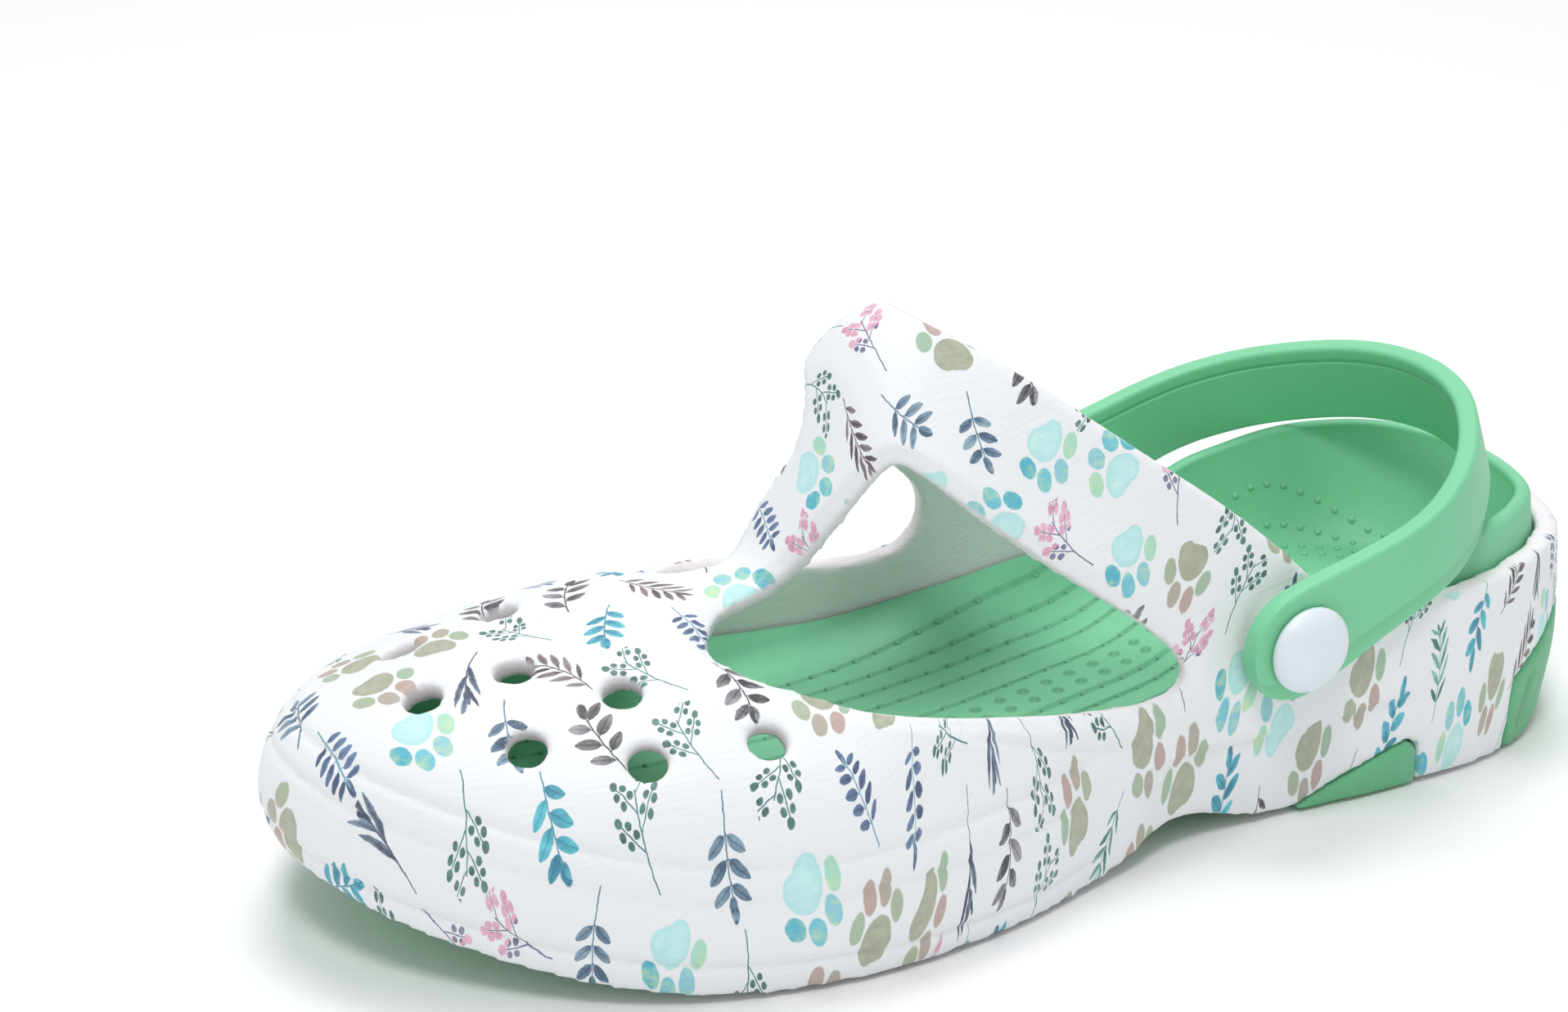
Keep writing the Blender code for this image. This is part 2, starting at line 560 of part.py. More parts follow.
def build_rivet(label, side, white):
    """Button stud outside with its post, and the clasp it snaps into inside the wall."""
    face = STRAP[0][1] + STRAP_THICK / 2 + 0.3
    seat = BOSS_INNER - 0.3
    tip = seat - CLASP_THICK + 0.9
    arc = [(face + 1.1 + CAP_RISE * math.sin(a), CAP_R * math.cos(a))
           for a in np.linspace(0, math.pi / 2, 7)[:-1]]
    stud = [(tip, 0), (tip, POST_R), (face, POST_R), (face, CAP_R - 0.5), (face + 0.5, CAP_R)] + arc
    turned(f"rivet_stud_{label}", stud + [(face + 1.1 + CAP_RISE, 0)], side, white)
    back = seat - CLASP_THICK
    socket = tip - 0.3
    clasp = [(socket, 0), (socket, SOCKET_R), (seat, SOCKET_R), (seat, CLASP_R - 0.5),
             (seat - 0.5, CLASP_R), (back + 0.5, CLASP_R), (back, CLASP_R - 1.2), (back - 0.4, 3), (back - 0.4, 0)]
    turned(f"rivet_clasp_{label}", clasp, side, white)


def main():
    white = make_material("printed_foam", WHITE, 0.6)
    build_upper(white)
    build_outsole(make_material("sole_foam", SOLE_GREEN, 0.6))
    build_footbed(make_material("footbed_foam", GREEN, 0.62))
    build_strap(make_material("strap_foam", STRAP_GREEN, 0.5))
    rivet = make_material("rivet_plastic", (0.83, 0.85, 0.9, 1), 0.25)
    build_rivet("left", 1, rivet)
    build_rivet("right", -1, rivet)


clear_scene()
PARTS = bpy.data.collections.new("garden_clog")
CUTTERS = bpy.data.collections.new("cutters")
bpy.context.scene.collection.children.link(PARTS)
bpy.context.scene.collection.children.link(CUTTERS)
main()
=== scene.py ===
"""Looks of the rubber garden clog: printed white foam upper, green foam sole, footbed and heel strap,
white button rivets, on a plain pale floor.

The shape tables repeat part.py's, in millimetres; every mesh is scaled to metres as it is made."""

import math

import bmesh
import bpy
import numpy as np
from mathutils import Matrix, Vector
from mathutils.bvhtree import BVHTree
from mathutils.kdtree import KDTree


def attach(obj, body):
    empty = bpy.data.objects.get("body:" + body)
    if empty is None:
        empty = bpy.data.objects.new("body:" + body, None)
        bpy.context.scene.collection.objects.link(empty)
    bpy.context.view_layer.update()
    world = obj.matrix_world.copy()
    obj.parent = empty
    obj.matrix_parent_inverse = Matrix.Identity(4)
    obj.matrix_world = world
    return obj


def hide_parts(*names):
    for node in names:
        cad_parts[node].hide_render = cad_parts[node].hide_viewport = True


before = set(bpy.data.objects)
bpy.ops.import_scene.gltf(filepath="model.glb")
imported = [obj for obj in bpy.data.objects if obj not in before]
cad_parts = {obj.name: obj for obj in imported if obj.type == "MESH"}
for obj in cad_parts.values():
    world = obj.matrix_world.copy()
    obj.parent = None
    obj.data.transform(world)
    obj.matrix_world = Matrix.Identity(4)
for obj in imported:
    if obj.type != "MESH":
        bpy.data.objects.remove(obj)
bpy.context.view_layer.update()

MM = 0.001

# ---- the shoe's shape, as in part.py ----
HALF_LENGTH, SPINE_HALF = 135.0, 92.0
WALL, GAP, RIM_LIFT, FLUSH = 4.6, 0.4, 0.8, 0.2
SOLE = [(-11.2, -135), (8.8, -130), (22, -119.5), (35, -104), (45, -86), (51, -66), (53.5, -45),
        (51, -20), (45, 3), (40.5, 26), (39.5, 50), (40.5, 75), (39.5, 98), (34, 116), (22, 129),
        (0, 135), (-22, 130), (-34, 118), (-41, 100), (-43, 75), (-41, 48), (-39, 22), (-42, -5),
        (-49, -32), (-53.5, -60), (-52, -88), (-46, -111), (-30.2, -128)]
SPINE_X = ([-92, -60, -20, 20, 60, 92], [-8, -3, 0, 0.5, -0.5, -1])
RIDGE_Z = ([-92, -80, -66, -54, -45, -36, -28, -20, -12, 5, 30, 92],
           [51.5, 54.5, 56.5, 56.6, 60, 77.5, 97.5, 104, 104, 108, 115, 125])
WALL_Y = [-135, -112, -80, -50, -25, 0, 20, 45, 75, 105, 135]
WIDEST_Z = [24, 27, 22, 18, 17, 17, 18, 18, 18, 20, 22]
BULGE = [2.9, 2.5, 2, 2, 2, 1.5, 1, 1, 1, 1.5, 2]
SHOULDER = [.93, .93, .91, .91, .93, .97, 1.0, 1.02, 1.02, 1.02, 1.02]
SHOULDER_Z = [43.4, 40, 39, 38, 36, 34, 34, 34, 32, 32, 33]
UPPER = [.50, .50, .52, .54, .565, .69, .84, .95, 1.0, 1.0, 1.0]
UPPER_Z = [50.5, 51.5, 52.5, 53.5, 73.5, 68, 62, 56, 43, 43, 43]
MEDIAL_SHOULDER_Z = [39.4, 35.5, 34.5, 34, 35.5, 34, 34, 34, 32, 32, 33]
MEDIAL_UPPER = [.55, .56, .58, .60, .565, .69, .84, .95, 1.0, 1.0, 1.0]
MEDIAL_UPPER_Z = [47, 46.7, 47.7, 48.7, 73.5, 68, 62, 56, 43, 43, 43]
WINDOW_TILT = math.radians(41)
WINDOW_LEFT = [(-65, 27.5), (-61, 21), (-54, 15), (-47, 9), (-39, 5), (-28, 2), (-16, 0), (-3, -1.5),
               (13, -2.5), (22, -1.5), (24.5, 1.4), (20.5, 6.8), (6.5, 17.4), (-4.5, 26),
               (-16, 36), (-23.5, 43.7), (-27.5, 47.8), (-30.5, 49), (-34.5, 47.2), (-39.5, 43.7),
               (-45, 40.2), (-52, 38.2), (-59, 35.5)]
WINDOW_RIGHT = [(-64, 26), (-60, 19), (-54, 13), (-47, 8), (-39, 5), (-28, 3.2), (-16, 2.6), (-4, 2.8),
                (4.5, 4.2), (8.6, 7.6), (9.2, 12.5), (6.8, 18.2), (1.5, 24), (-5, 30), (-14, 38.5),
                (-21, 46), (-26, 53), (-29.5, 58), (-32.5, 59.4), (-35.3, 56.2), (-38, 50.5),
                (-41.5, 43), (-46, 38.5), (-53, 36.2), (-60, 33)]
OPENING = [(-20, 140), (-18.5, 110), (-18, 103.8), (-15.5, 102.4), (-7, 97.4), (5.5, 88.6),
           (19.5, 78), (35, 66.4), (46, 57), (53, 50), (58, 45), (63, 42), (71, 40.6), (82, 40.4), (92, 40.6),
           (101, 41.3), (110, 42.4), (122, 43), (150, 43.5), (150, 140)]
VENTS = [(5.3, -113.9), (8.4, -97.9), (24.5, -102.8), (22.9, -83.9), (36, -85.4), (40, -64.3),
         (-16.5, -109.6), (-16.1, -90.4)]
WEDGE = [(46, -3), (51, 0.8), (58, 3.4), (66, 6.4), (74, 9.4), (78.5, 10.7), (81.2, 9.6),
         (82, 7), (82, -3)]
BUMPER = [(150, 32), (131, 31), (124, 27.5), (116, 22.8), (110, 19.6), (106.6, 17.2), (106.2, 10),
          (106.6, -6), (150, -6)]
BUMPER_TOP, FILL_TOP = 36.0, 14.0
SOLE_TOP = ([-135, -110, -80, -50, 0, 40, 80, 135], [23.5, 18.5, 16, 15, 15, 17, 19.5, 21])
TREAD_Y = [-92, -80, -68, -56, -44, -32, -20, -8, 58, 70, 82, 94, 106, 118]
TREAD_WIDTH, TREAD_DEPTH, TREAD_MARGIN = 3.0, 2.2, 7.0
FOOTBED_FLOOR = ([-135, -110, -80, -50, -15, 20, 60, 100, 135], [28.5, 23.5, 21, 20, 19.5, 21, 24, 25, 26])
RIM_LATERAL = ([-135, -60, 0, 30, 40, 57, 66, 76, 88, 100, 115, 135],
               [4, 3, 3, 5, 6, 6, 14, 19, 21.5, 23.5, 24.3, 24])
RIM_MEDIAL = ([-135, -60, -13, 12, 31, 40, 57, 66, 76, 88, 100, 115, 135],
              [4, 3, 4.5, 7.5, 8.5, 8, 6.5, 14, 19, 21.5, 23.5, 24.3, 24])
SLOPE_LATERAL = ([-135, 0, 60, 100, 135], [6, 7, 10, 13, 13])
SLOPE_MEDIAL = ([-135, -60, -20, 30, 60, 100, 135], [6, 9, 20, 20, 12, 13, 13])
CUP_WALL = 3.2
PIVOT_Y, PIVOT_Z = 46.6, 40.0
REST_ANGLE = math.radians(20)
STRAP_THICK, STRAP_CENTRE_X = 4.2, -1.3
STRAP = [(-11.6, 45.2, 1.6), (-11.0, 45.2, 4.1), (-9.1, 45.2, 7.4), (-5.8, 45.2, 10.1),
         (-2, 45.2, 11.4), (3, 45.2, 11.5), (10, 45.2, 10.9), (18, 45.2, 10.0), (29, 44.9, 9.2),
         (37, 43.3, 9.0), (44, 40.3, 9.0), (50.7, 36.0, 9.0), (56.8, 30.4, 9.0), (62.3, 23.8, 9.0),
         (66.7, 16.6, 9.0), (69.5, 8.6, 9.0), (70.5, 0.0, 9.0)]
BORE_R, POST_R, HOLE_R = 2.9, 2.6, 2.7
CAP_R, CAP_RISE = 8.5, 3.4
BOSS_R, BOSS_FACE, BOSS_INNER = 7.6, 42.8, 33.4
CLASP_R, CLASP_THICK, SOCKET_R = 6.8, 2.0, 2.75

# ---- detail that only shows ----
STATIONS, ROWS = 320, 90  # the fine wall: sections per side, points up each section
SIDE_ROWS, SHOULDER_ROW = 60, 10  # points up the side below the top, and the one that aims the print
SHELL_STATIONS, SHELL_ROWS = 120, 54
SHELL_VOXEL, SHELL_PASSES = 1.04, 4  # the remesh and the smoothing that round the upper's rims
SOLE_VOXEL, SOLE_PASSES = 1.25, 3
VISUAL_VENT_R = 3.6  # the vents before their rims are rounded
STEP_LINE = ([14, 30, 62, 74, 100], [20.4, 20.3, 19.8, 21.0, 24.0])  # moulded step on the side, z by y
CREASE_LINE = ([-34, -26, -10, 6, 22, 36], [41.5, 38.9, 32.7, 28.0, 26.9, 26.2])
CREASE_WIDTH = 0.8
RAND_LINES, RAND_WIDTH = [6.5, 20, 26.5], 0.85  # moulded lines on the toe's rand, above its lower edge
RAND_WAVE, RAND_WAVELENGTH = 0.8, 17
LIP_EDGE = (1.5, 2.7)  # where the sunk lip round a window ends, from the rim
STEP_SINK, CREASE_SINK, RAND_SINK, LIP_SINK = 0.95, 0.5, 0.6, 0.85
SEAM_Y, SEAM_Z, SEAM_LEAN, SEAM_WIDTH = 111.5, 6, 0.2, 0.9  # seam across the bumper's front
FOOTBED_LINES = [-28.9, -22.8, -16.7, -10.6, -2.6, 10.4, 15.6, 21.2, 27]  # x of each line at y = 20
LINE_BEND = ([-110, -60, -20, 5, 21, 37, 53, 66], [6, 7, 5, 2.3, 0, -2.5, -8.5, -13])
LINE_DEPTH, LINE_WIDTH, LINES_END = 0.4, 0.6, 62.0
FOOTBED_DOTS, PIT_PITCH = [2.0, 6.2], 6.0
FIRST_NUB, LAST_NUB, NUB_PITCH, NUB_R, NUB_FLAT = -98.0, 58.0, 5.2, 0.8, 0.62
HEEL_CENTRE, HEEL_FROM = (-2.0, 88.0), 66.0
HEEL_ARCS, HEEL_PITCH = [29.0, 25.4, 21.8, 18.2], 3.8
SLANT_PITCH, SLANT_LEAN, SLANT_DEPTH, SLANT_R = 4.4, 0.6, 0.35, 12.0  # slanting lines in the heel's middle
LIP_ROUND, EDGE_WIDTH, FLOOR_FALL, FLOOR_RINGS, FLOOR_COLUMNS = 1.2, 1.0, 2.4, 26, 110
CLEARANCE = 0.3

# ---- the print ----
CELL_LONG, CELL_WIDE = 16.8, 13.4  # one motif's cell
SIDE_SCALE = 0.66  # the print is stretched down the side by one over this
PAW_SHARE, TWIG_FROM = 0.40, 0.82  # a cell's random number below this is a paw, above that a twig
STALK_FOOT, STALK_TOP, TWIG_TOP = -7.7, 6.2, 5.4
LEAVES_FROM, LEAVES_TO, LEAF_TAPER = -5.2, 5.4, 62  # where leaves grow on a stem, and how they shorten
SHOOTS_FROM, SHOOTS_TO, SHOOT_LONG, BLOOM_FROM = -3.4, 5.6, 6.0, 1.6  # the same for a twig's shoots
STEM_CURVE, TWIG_CURVE = 0.033, 0.018
TWIG_ANGLE, TWIG_SPACING, BERRY_STEP = math.radians(37), 4.6, 1.75
PAW_HEEL, PAW_TAPER = (0, -1.7, 3.3, 3.3), 0.22  # middle across and along, then half sizes
PAW_LOBE = (1.75, -2.9, 2.1, 2.2)
PAW_OUTER_TOE, TOE_SPLAY = (4.8, 0.9, 1.55, 2.325), (0.93, 0.36)  # and the cosine and sine of its turn
PAW_INNER_TOE = (1.95, 4.4, 1.62, 2.268)
PAW_PADS = [((.46, .80, .79), (.62, .88, .86)), ((.34, .38, .26), (.50, .48, .37)),
            ((.12, .55, .62), (.27, .37, .24))]  # aqua, olive, and the stain of each
PAW_TOES = {"aqua": [(.07, .46, .58), (.16, .56, .66), (.40, .72, .56), (.26, .60, .68)],
            "olive": [(.38, .48, .32), (.44, .40, .33), (.34, .52, .36), (.50, .37, .33)]}
PAW_BLUSH = ((.72, .84, .30), (.55, .42, .36))
BERRIES = [((.01, .07, .06), (.10, .26, .23)), ((.05, .07, .17), (.34, .30, .44))]
BLOSSOM = ((.64, .24, .40), (.86, .54, .65))
BERRY_STALK = ((.05, .22, .24), (.12, .14, .26))
# Leaf sprigs: (leaf length, half width, angle from the stem in degrees),
# (spacing, alternate, bend of the stem), (roundness, start of the leaf, top leaf's half width),
# then the colours of a leaf's base, its tip, and of the stem.
SPRIGS = [
    ((3.3, .72, 60), (2.05, 0, 0.0), (.9, .16, .55), (.035, .07, .17), (.15, .25, .42), (.20, .42, .52)),
    ((4.7, 1.05, 45), (3.3, 1, 0.3), (.8, .08, .95), (.005, .20, .32), (.10, .56, .66), (.03, .30, .38)),
    ((5.4, .62, 38), (2.45, 1, 0.8), (.2, .10, .50), (.045, .028, .035), (.33, .25, .27), (.15, .10, .12)),
    ((4.9, .56, 36), (2.45, 0, 0.5), (.2, .06, .45), (.01, .15, .10), (.28, .62, .50), (.16, .42, .34)),
    ((5.2, 1.15, 52), (3.7, 1, -0.5), (.6, .10, .95), (.02, .02, .025), (.36, .34, .36), (.04, .03, .04)),
    ((4.5, .90, 50), (2.9, 0, 0.4), (.8, .10, .80), (.03, .09, .17), (.28, .42, .52), (.10, .22, .30)),
    ((8.8, .62, 14), (5.2, 1, 0.5), (.1, .02, .60), (.025, .04, .09), (.22, .31, .42), (.05, .08, .14)),
]

# ---- foam, plastic, light and view ----
WHITE, OFF_WHITE = (.86, .875, .89), (.84, .855, .875)
INNER_WHITE = ((.80, .74, .77), (.98, .89, .94))
SOLE_GREEN = ((.16, .50, .26), (.12, .43, .21))
STRAP_GREEN = ((.215, .64, .36), (.19, .60, .33))
FOOTBED_GREEN = ((.235, .64, .38), (.19, .57, .33))
# The second green is painted shade, laid into the footbed's grooves, pits and slanting lines and round the
# nubs' feet.
SPECK_GREEN, GROOVE_SHADE_GREEN = (.50, .80, .60), (.05, .22, .11)
RIVET_WHITE = ((.74, .80, .86), (.80, .85, .90))
RIB_PITCH, RELIEF = 1.35, 0.0002
FLOOR_SIZE, FLOOR_DROP, FLOOR_GREY = 8, 0.0002, 0.93
SKY, SKY_STRENGTH = (0.97, 0.985, 1.0, 1), 0.56
LIGHTS = {"key": ((0.6, -0.5, 1.45), 0.35, 8), "top": ((-0.4, 0.1, 1.7), 0.7, 11.5),
          "back": ((-1.3, 0.9, 0.9), 1.0, 2)}  # place, size, power
LIT_POINT = (0, 0, 0.04)
AZIMUTH, ELEVATION, ROLL = (math.radians(angle) for angle in (61.4, 22.0, 0.2))
DISTANCE, FOCAL, SENSOR = 0.558, 1.8523, 36  # the focal length is a share of the picture's width
AIM = (-0.002, 0, 0.050)
AIM_RIGHT, AIM_DOWN = 0.1126, 0.0317  # where the aim sits, from the picture's centre


# ---- small helpers ----
def inner_slopes(slope, step):
    return (slope[:-1] * step[1:] + slope[1:] * step[:-1]) / (step[:-1] + step[1:])


def cubic(start, end, leaving, arriving, span, t):
    """Cubic from start to end with the given slopes at its ends."""
    return (start * (1 + 2 * t) * (1 - t) ** 2 + leaving * span * t * (1 - t) ** 2
            + end * t * t * (3 - 2 * t) - arriving * span * t * t * (1 - t))


def hermite(table, x):
    """Smooth value of a (positions, values) table at x."""
    xs, vs = (np.asarray(part, float) for part in table)
    x = np.clip(x, xs[0], xs[-1])
    step = np.diff(xs)
    slope = np.diff(vs) / step
    m = np.concatenate([slope[:1], inner_slopes(slope, step), slope[-1:]])
    i = np.clip(np.searchsorted(xs, x) - 1, 0, len(step) - 1)
    return cubic(vs[i], vs[i + 1], m[i], m[i + 1], step[i], (x - xs[i]) / step[i])


def smoothstep(low, high, x):
    t = np.clip((x - low) / (high - low), 0, 1)
    return t * t * (3 - 2 * t)


def bell(x, width):
    """Bell curve: 1 at x = 0."""
    return np.exp(-(x / width) ** 2)


def between(x, rise, fall):
    """1 on the stretch after rise = (from, to) and before fall = (from, to), 0 outside."""
    return smoothstep(*rise, x) * (1 - smoothstep(*fall, x))


def catmull_rom(a, b, c, d, per_side):
    t = (np.arange(per_side) / per_side)[None, :, None]
    q = 0.5 * (2 * b + (c - a) * t + (2 * a - 5 * b + 4 * c - d) * t ** 2 + (3 * b - a - 3 * c + d) * t ** 3)
    return q.reshape(-1, q.shape[2])


def closed_curve(points, per_side):
    """Catmull-Rom curve through a closed list of points."""
    p = np.asarray(points, float)
    return catmull_rom(*(np.roll(p, k, 0)[:, None] for k in (1, 0, -1, -2)), per_side)


def open_curve(points, per_side):
    """Catmull-Rom curve through an open list of points, ends included."""
    p = np.asarray(points, float)
    p = np.vstack([2 * p[0] - p[1], p, 2 * p[-1] - p[-2]])
    return np.vstack([catmull_rom(*(p[k:len(p) - 3 + k, None] for k in range(4)), per_side), p[-2:-1]])


def nearest(points, targets):
    """For each point, the index of the nearest target and its distance."""
    tree = KDTree(len(targets))
    for i, target in enumerate(targets):
        tree.insert(target, i)
    tree.balance()
    found = [tree.find(point)[1:] for point in points]
    return np.array([index for index, _ in found]), np.array([distance for _, distance in found])


# ---- the wall's surface ----
def spine_y(y):
    reach = np.minimum(np.abs(y) / HALF_LENGTH, 1)
    return np.sign(y) * SPINE_HALF * (1 - (1 - reach) ** (HALF_LENGTH / SPINE_HALF))


def ground_z(y):
    """Bottom edge: toe spring, raised heel end and the arch at the waist."""
    toe = 16.3 * (np.clip(-66 - y, 0, None) / 69) ** 1.9
    heel = 6 * (np.clip(y - 104, 0, None) / 31) ** 2
    return toe + heel + 5.5 * np.exp(-((y - 24) / 15) ** 2)


def outline_stations(count):
    """Ground outline as a ring: lateral side from toe to heel, then the medial side back."""
    curve = closed_curve(SOLE, 60)
    toe, heel = curve[:, 1].argmin(), curve[:, 1].argmax()
    curve = np.roll(curve, -toe, 0)
    heel = (heel - toe) % len(curve)
    lateral, medial = curve[:heel + 1], np.vstack([curve[heel:], curve[:1]])
    angle = np.linspace(0, math.pi, count + 1)
    low, high = curve[:, 1].min(), curve[:, 1].max()
    y = (low + high) / 2 - (high - low) / 2 * np.cos(angle)
    left = np.interp(y, lateral[:, 1], lateral[:, 0])
    right = np.interp(y, medial[::-1, 1], medial[::-1, 0])
    return np.vstack([np.column_stack([left, y]), np.column_stack([right, y])[-2:0:-1]])


def wall_section(point, rows):
    """One wall section from the bottom edge up to the ridge."""
    y = point[1]
    ridge_y = spine_y(y)
    ridge_x = hermite(SPINE_X, ridge_y)
    away = np.array([point[0] - ridge_x, y - ridge_y])
    reach = np.linalg.norm(away)
    away /= reach
    medial = 0.5 - 0.5 * math.sin(math.pi / 2 * min(max(away[0] / 0.6, -1), 1))

    def at(lateral_values, medial_values=None):
        value = hermite((WALL_Y, lateral_values), y)
        other = hermite((WALL_Y, medial_values or lateral_values), y)
        return value + (other - value) * medial

    p = np.array([(reach, ground_z(y)), (reach + at(BULGE), at(WIDEST_Z)),
                  (reach * at(SHOULDER), at(SHOULDER_Z, MEDIAL_SHOULDER_Z)),
                  (reach * at(UPPER, MEDIAL_UPPER), at(UPPER_Z, MEDIAL_UPPER_Z)),
                  (0, hermite(RIDGE_Z, ridge_y))])
    along = np.concatenate([[0], np.cumsum(np.linalg.norm(np.diff(p, axis=0), axis=1))])
    step = np.diff(along)[:, None]
    slope = np.diff(p, axis=0) / step
    m = np.vstack([slope[:1], inner_slopes(slope, step), [(-1, 0)]])
    s = np.linspace(0, along[-1], rows + 1)
    i = np.clip(np.searchsorted(along, s, side="right") - 1, 0, len(step) - 1)
    q = cubic(p[i], p[i + 1], m[i], m[i + 1], step[i], ((s - along[i]) / step[i, 0])[:, None])
    return np.column_stack([ridge_x + away[0] * q[:, 0], ridge_y + away[1] * q[:, 0], q[:, 1]])


def wall_grid(stations, rows):
    return np.array([wall_section(point, rows) for point in outline_stations(stations)])


def grid_normals(grid):
    around = np.roll(grid, -1, 0) - np.roll(grid, 1, 0)
    up = np.gradient(grid, axis=1)
    normal = np.cross(around, up)
    return normal / np.maximum(np.linalg.norm(normal, axis=2, keepdims=True), 1e-9)


FINE = wall_grid(STATIONS, ROWS)
FINE_NORMALS = grid_normals(FINE)


def ring_at(depth, heights):
    """Ring of points at this depth under the wall's face and at this height; either may vary per section."""
    inset = FINE - FINE_NORMALS * np.reshape(depth, (-1, 1, 1))
    heights = np.broadcast_to(heights, len(FINE))
    out = np.empty((len(FINE), 3))
    for s, z in enumerate(heights):
        side = inset[s, :SIDE_ROWS]
        rise = np.maximum.accumulate(side[:, 2])
        out[s] = [np.interp(z, rise, side[:, c]) for c in (0, 1, 2)]
        out[s, 2] = z
    return out


def moved_in(ring, distance):
    """The ring shifted inwards, level, by a distance per section."""
    ahead = np.roll(ring, -1, 0) - np.roll(ring, 1, 0)
    normal = np.column_stack([ahead[:, 1], -ahead[:, 0]])
    normal /= np.linalg.norm(normal, axis=1, keepdims=True)
    out = ring.copy()
    out[:, :2] -= normal * np.broadcast_to(distance, len(ring))[:, None]
    return out


def ring_table(lateral, medial=None):
    """Table value per section, with its own table for the medial side."""
    y = FINE[:, 0, 1]
    value = hermite(lateral, y)
    if medial is not None:
        value[STATIONS + 1:] = hermite(medial, y)[STATIONS + 1:]
        for k in (0, STATIONS):
            value[k] = (value[k - 1] + value[k + 1]) / 2
    return value


def on_axis(x):
    """Point on the rivets' axis."""
    return (x, PIVOT_Y, PIVOT_Z)


# ---- making meshes ----
def new_object(name, verts, faces):
    """Mesh object from points in millimetres."""
    mesh = bpy.data.meshes.new(name)
    points = [tuple(np.asarray(v, float) * MM) for v in verts]
    mesh.from_pydata(points, [], [tuple(map(int, f)) for f in faces])
    mesh.validate()
    obj = bpy.data.objects.new(name, mesh)
    bpy.context.scene.collection.objects.link(obj)
    return obj


def recalculate(obj):
    """The object with its faces turned outwards."""
    bm = bmesh.new()
    bm.from_mesh(obj.data)
    bmesh.ops.recalc_face_normals(bm, faces=bm.faces)
    bm.to_mesh(obj.data)
    bm.free()
    return obj


def points_of(obj):
    flat = np.empty(len(obj.data.vertices) * 3, np.float32)
    obj.data.vertices.foreach_get("co", flat)
    return flat.reshape(-1, 3).astype(float) / MM


def set_points(obj, points):
    obj.data.vertices.foreach_set("co", (points * MM).astype(np.float32).ravel())
    obj.data.update()


def smooth_shading(obj, angle=None):
    obj.data.polygons.foreach_set("use_smooth", [True] * len(obj.data.polygons))
    if angle is not None:
        obj.data.set_sharp_from_angle(angle=math.radians(angle))


def applied(obj):
    """The object with its modifiers made part of its mesh, and its cutters removed."""
    graph = bpy.context.evaluated_depsgraph_get()
    mesh = bpy.data.meshes.new_from_object(obj.evaluated_get(graph))
    used = [m.object for m in obj.modifiers if m.type == "BOOLEAN"]
    obj.modifiers.clear()
    obj.data = mesh
    for cutter in used:
        bpy.data.objects.remove(cutter)
    return obj


def boolean(obj, other, operation="DIFFERENCE"):
    modifier = obj.modifiers.new(f"{operation.lower()} {other.name}", "BOOLEAN")
    modifier.operation = operation
    modifier.solver = "EXACT"
    modifier.object = other


def remeshed(obj, voxel, passes):
    """Even mesh with the sharp rims rounded off by a few passes of smoothing."""
    modifier = obj.modifiers.new("remesh", "REMESH")
    modifier.mode = "VOXEL"
    modifier.voxel_size = voxel * MM
    applied(obj)
    modifier = obj.modifiers.new("round", "SMOOTH")
    modifier.factor, modifier.iterations = 0.5, passes
    return applied(obj)


def cap_faces(verts, first, upward, columns):
    """Strips across a ring that starts at index first; inner columns add points."""
    count = 2 * STATIONS
    rows = []
    for k in range(STATIONS + 1):
        left, right = first + k, first + (count - k) % count
        row = [left]
        if left != right:
            for c in range(1, columns):
                verts.append(verts[left] + (verts[right] - verts[left]) * c / columns)
                row.append(len(verts) - 1)
            row.append(right)
        rows.append(row)
    faces = []
    for a, b in zip(rows, rows[1:]):
        if len(a) == 1 or len(b) == 1:
            fan, tip = (b, a[0]) if len(a) == 1 else (a, b[0])
            faces += [(tip, p, q) if len(a) == 1 else (p, tip, q) for p, q in zip(fan, fan[1:])]
        else:
            faces += [(a[c], b[c], b[c + 1], a[c + 1]) for c in range(columns)]
    return [f if upward else f[::-1] for f in faces]


def ring_solid(name, rings, top_columns=1):
    """Closed body through a stack of rings, with strips across the first and the last."""
    count = 2 * STATIONS
    verts = [point for ring in rings for point in ring]
    faces = []
    for r in range(len(rings) - 1):
        for s in range(count):
            a, b = r * count + s, r * count + (s + 1) % count
            faces.append((a, b, b + count, a + count))
    faces += cap_faces(verts, (len(rings) - 1) * count, True, top_columns)
    faces += cap_faces(verts, 0, False, 1)
    return recalculate(new_object(name, verts, faces))


def loft(name, sections):
    """Closed body through sections that have the same number of points."""
    n, rings = len(sections[0]), len(sections)
    verts = [point for section in sections for point in section]
    faces = [(r * n + i, r * n + (i + 1) % n, (r + 1) * n + (i + 1) % n, (r + 1) * n + i)
             for r in range(rings - 1) for i in range(n)]
    faces += [tuple(range(n)), tuple(range((rings - 1) * n, rings * n))]
    return recalculate(new_object(name, verts, faces))


def prism(name, outline, x_from, x_to):
    """Side-view outline in (y, z) run across in x."""
    return loft(name, [[(x, y, z) for y, z in outline] for x in (x_from, x_to)])


def join(name, objects):
    joined = new_object(name, [], [])
    bm = bmesh.new()
    for obj in objects:
        bm.from_mesh(obj.data)
        bpy.data.objects.remove(obj)
    bm.to_mesh(joined.data)
    bm.free()
    return joined


def cylinder(name, centre, axis, radius, length, sides=72):
    bm = bmesh.new()
    bmesh.ops.create_cone(bm, cap_ends=True, segments=sides, radius1=radius * MM, radius2=radius * MM,
                          depth=length * MM)
    turn = Vector(axis).to_track_quat("Z", "Y").to_matrix().to_4x4()
    bm.transform(Matrix.Translation(Vector(centre) * MM) @ turn)
    obj = new_object(name, [], [])
    bm.to_mesh(obj.data)
    bm.free()
    return obj


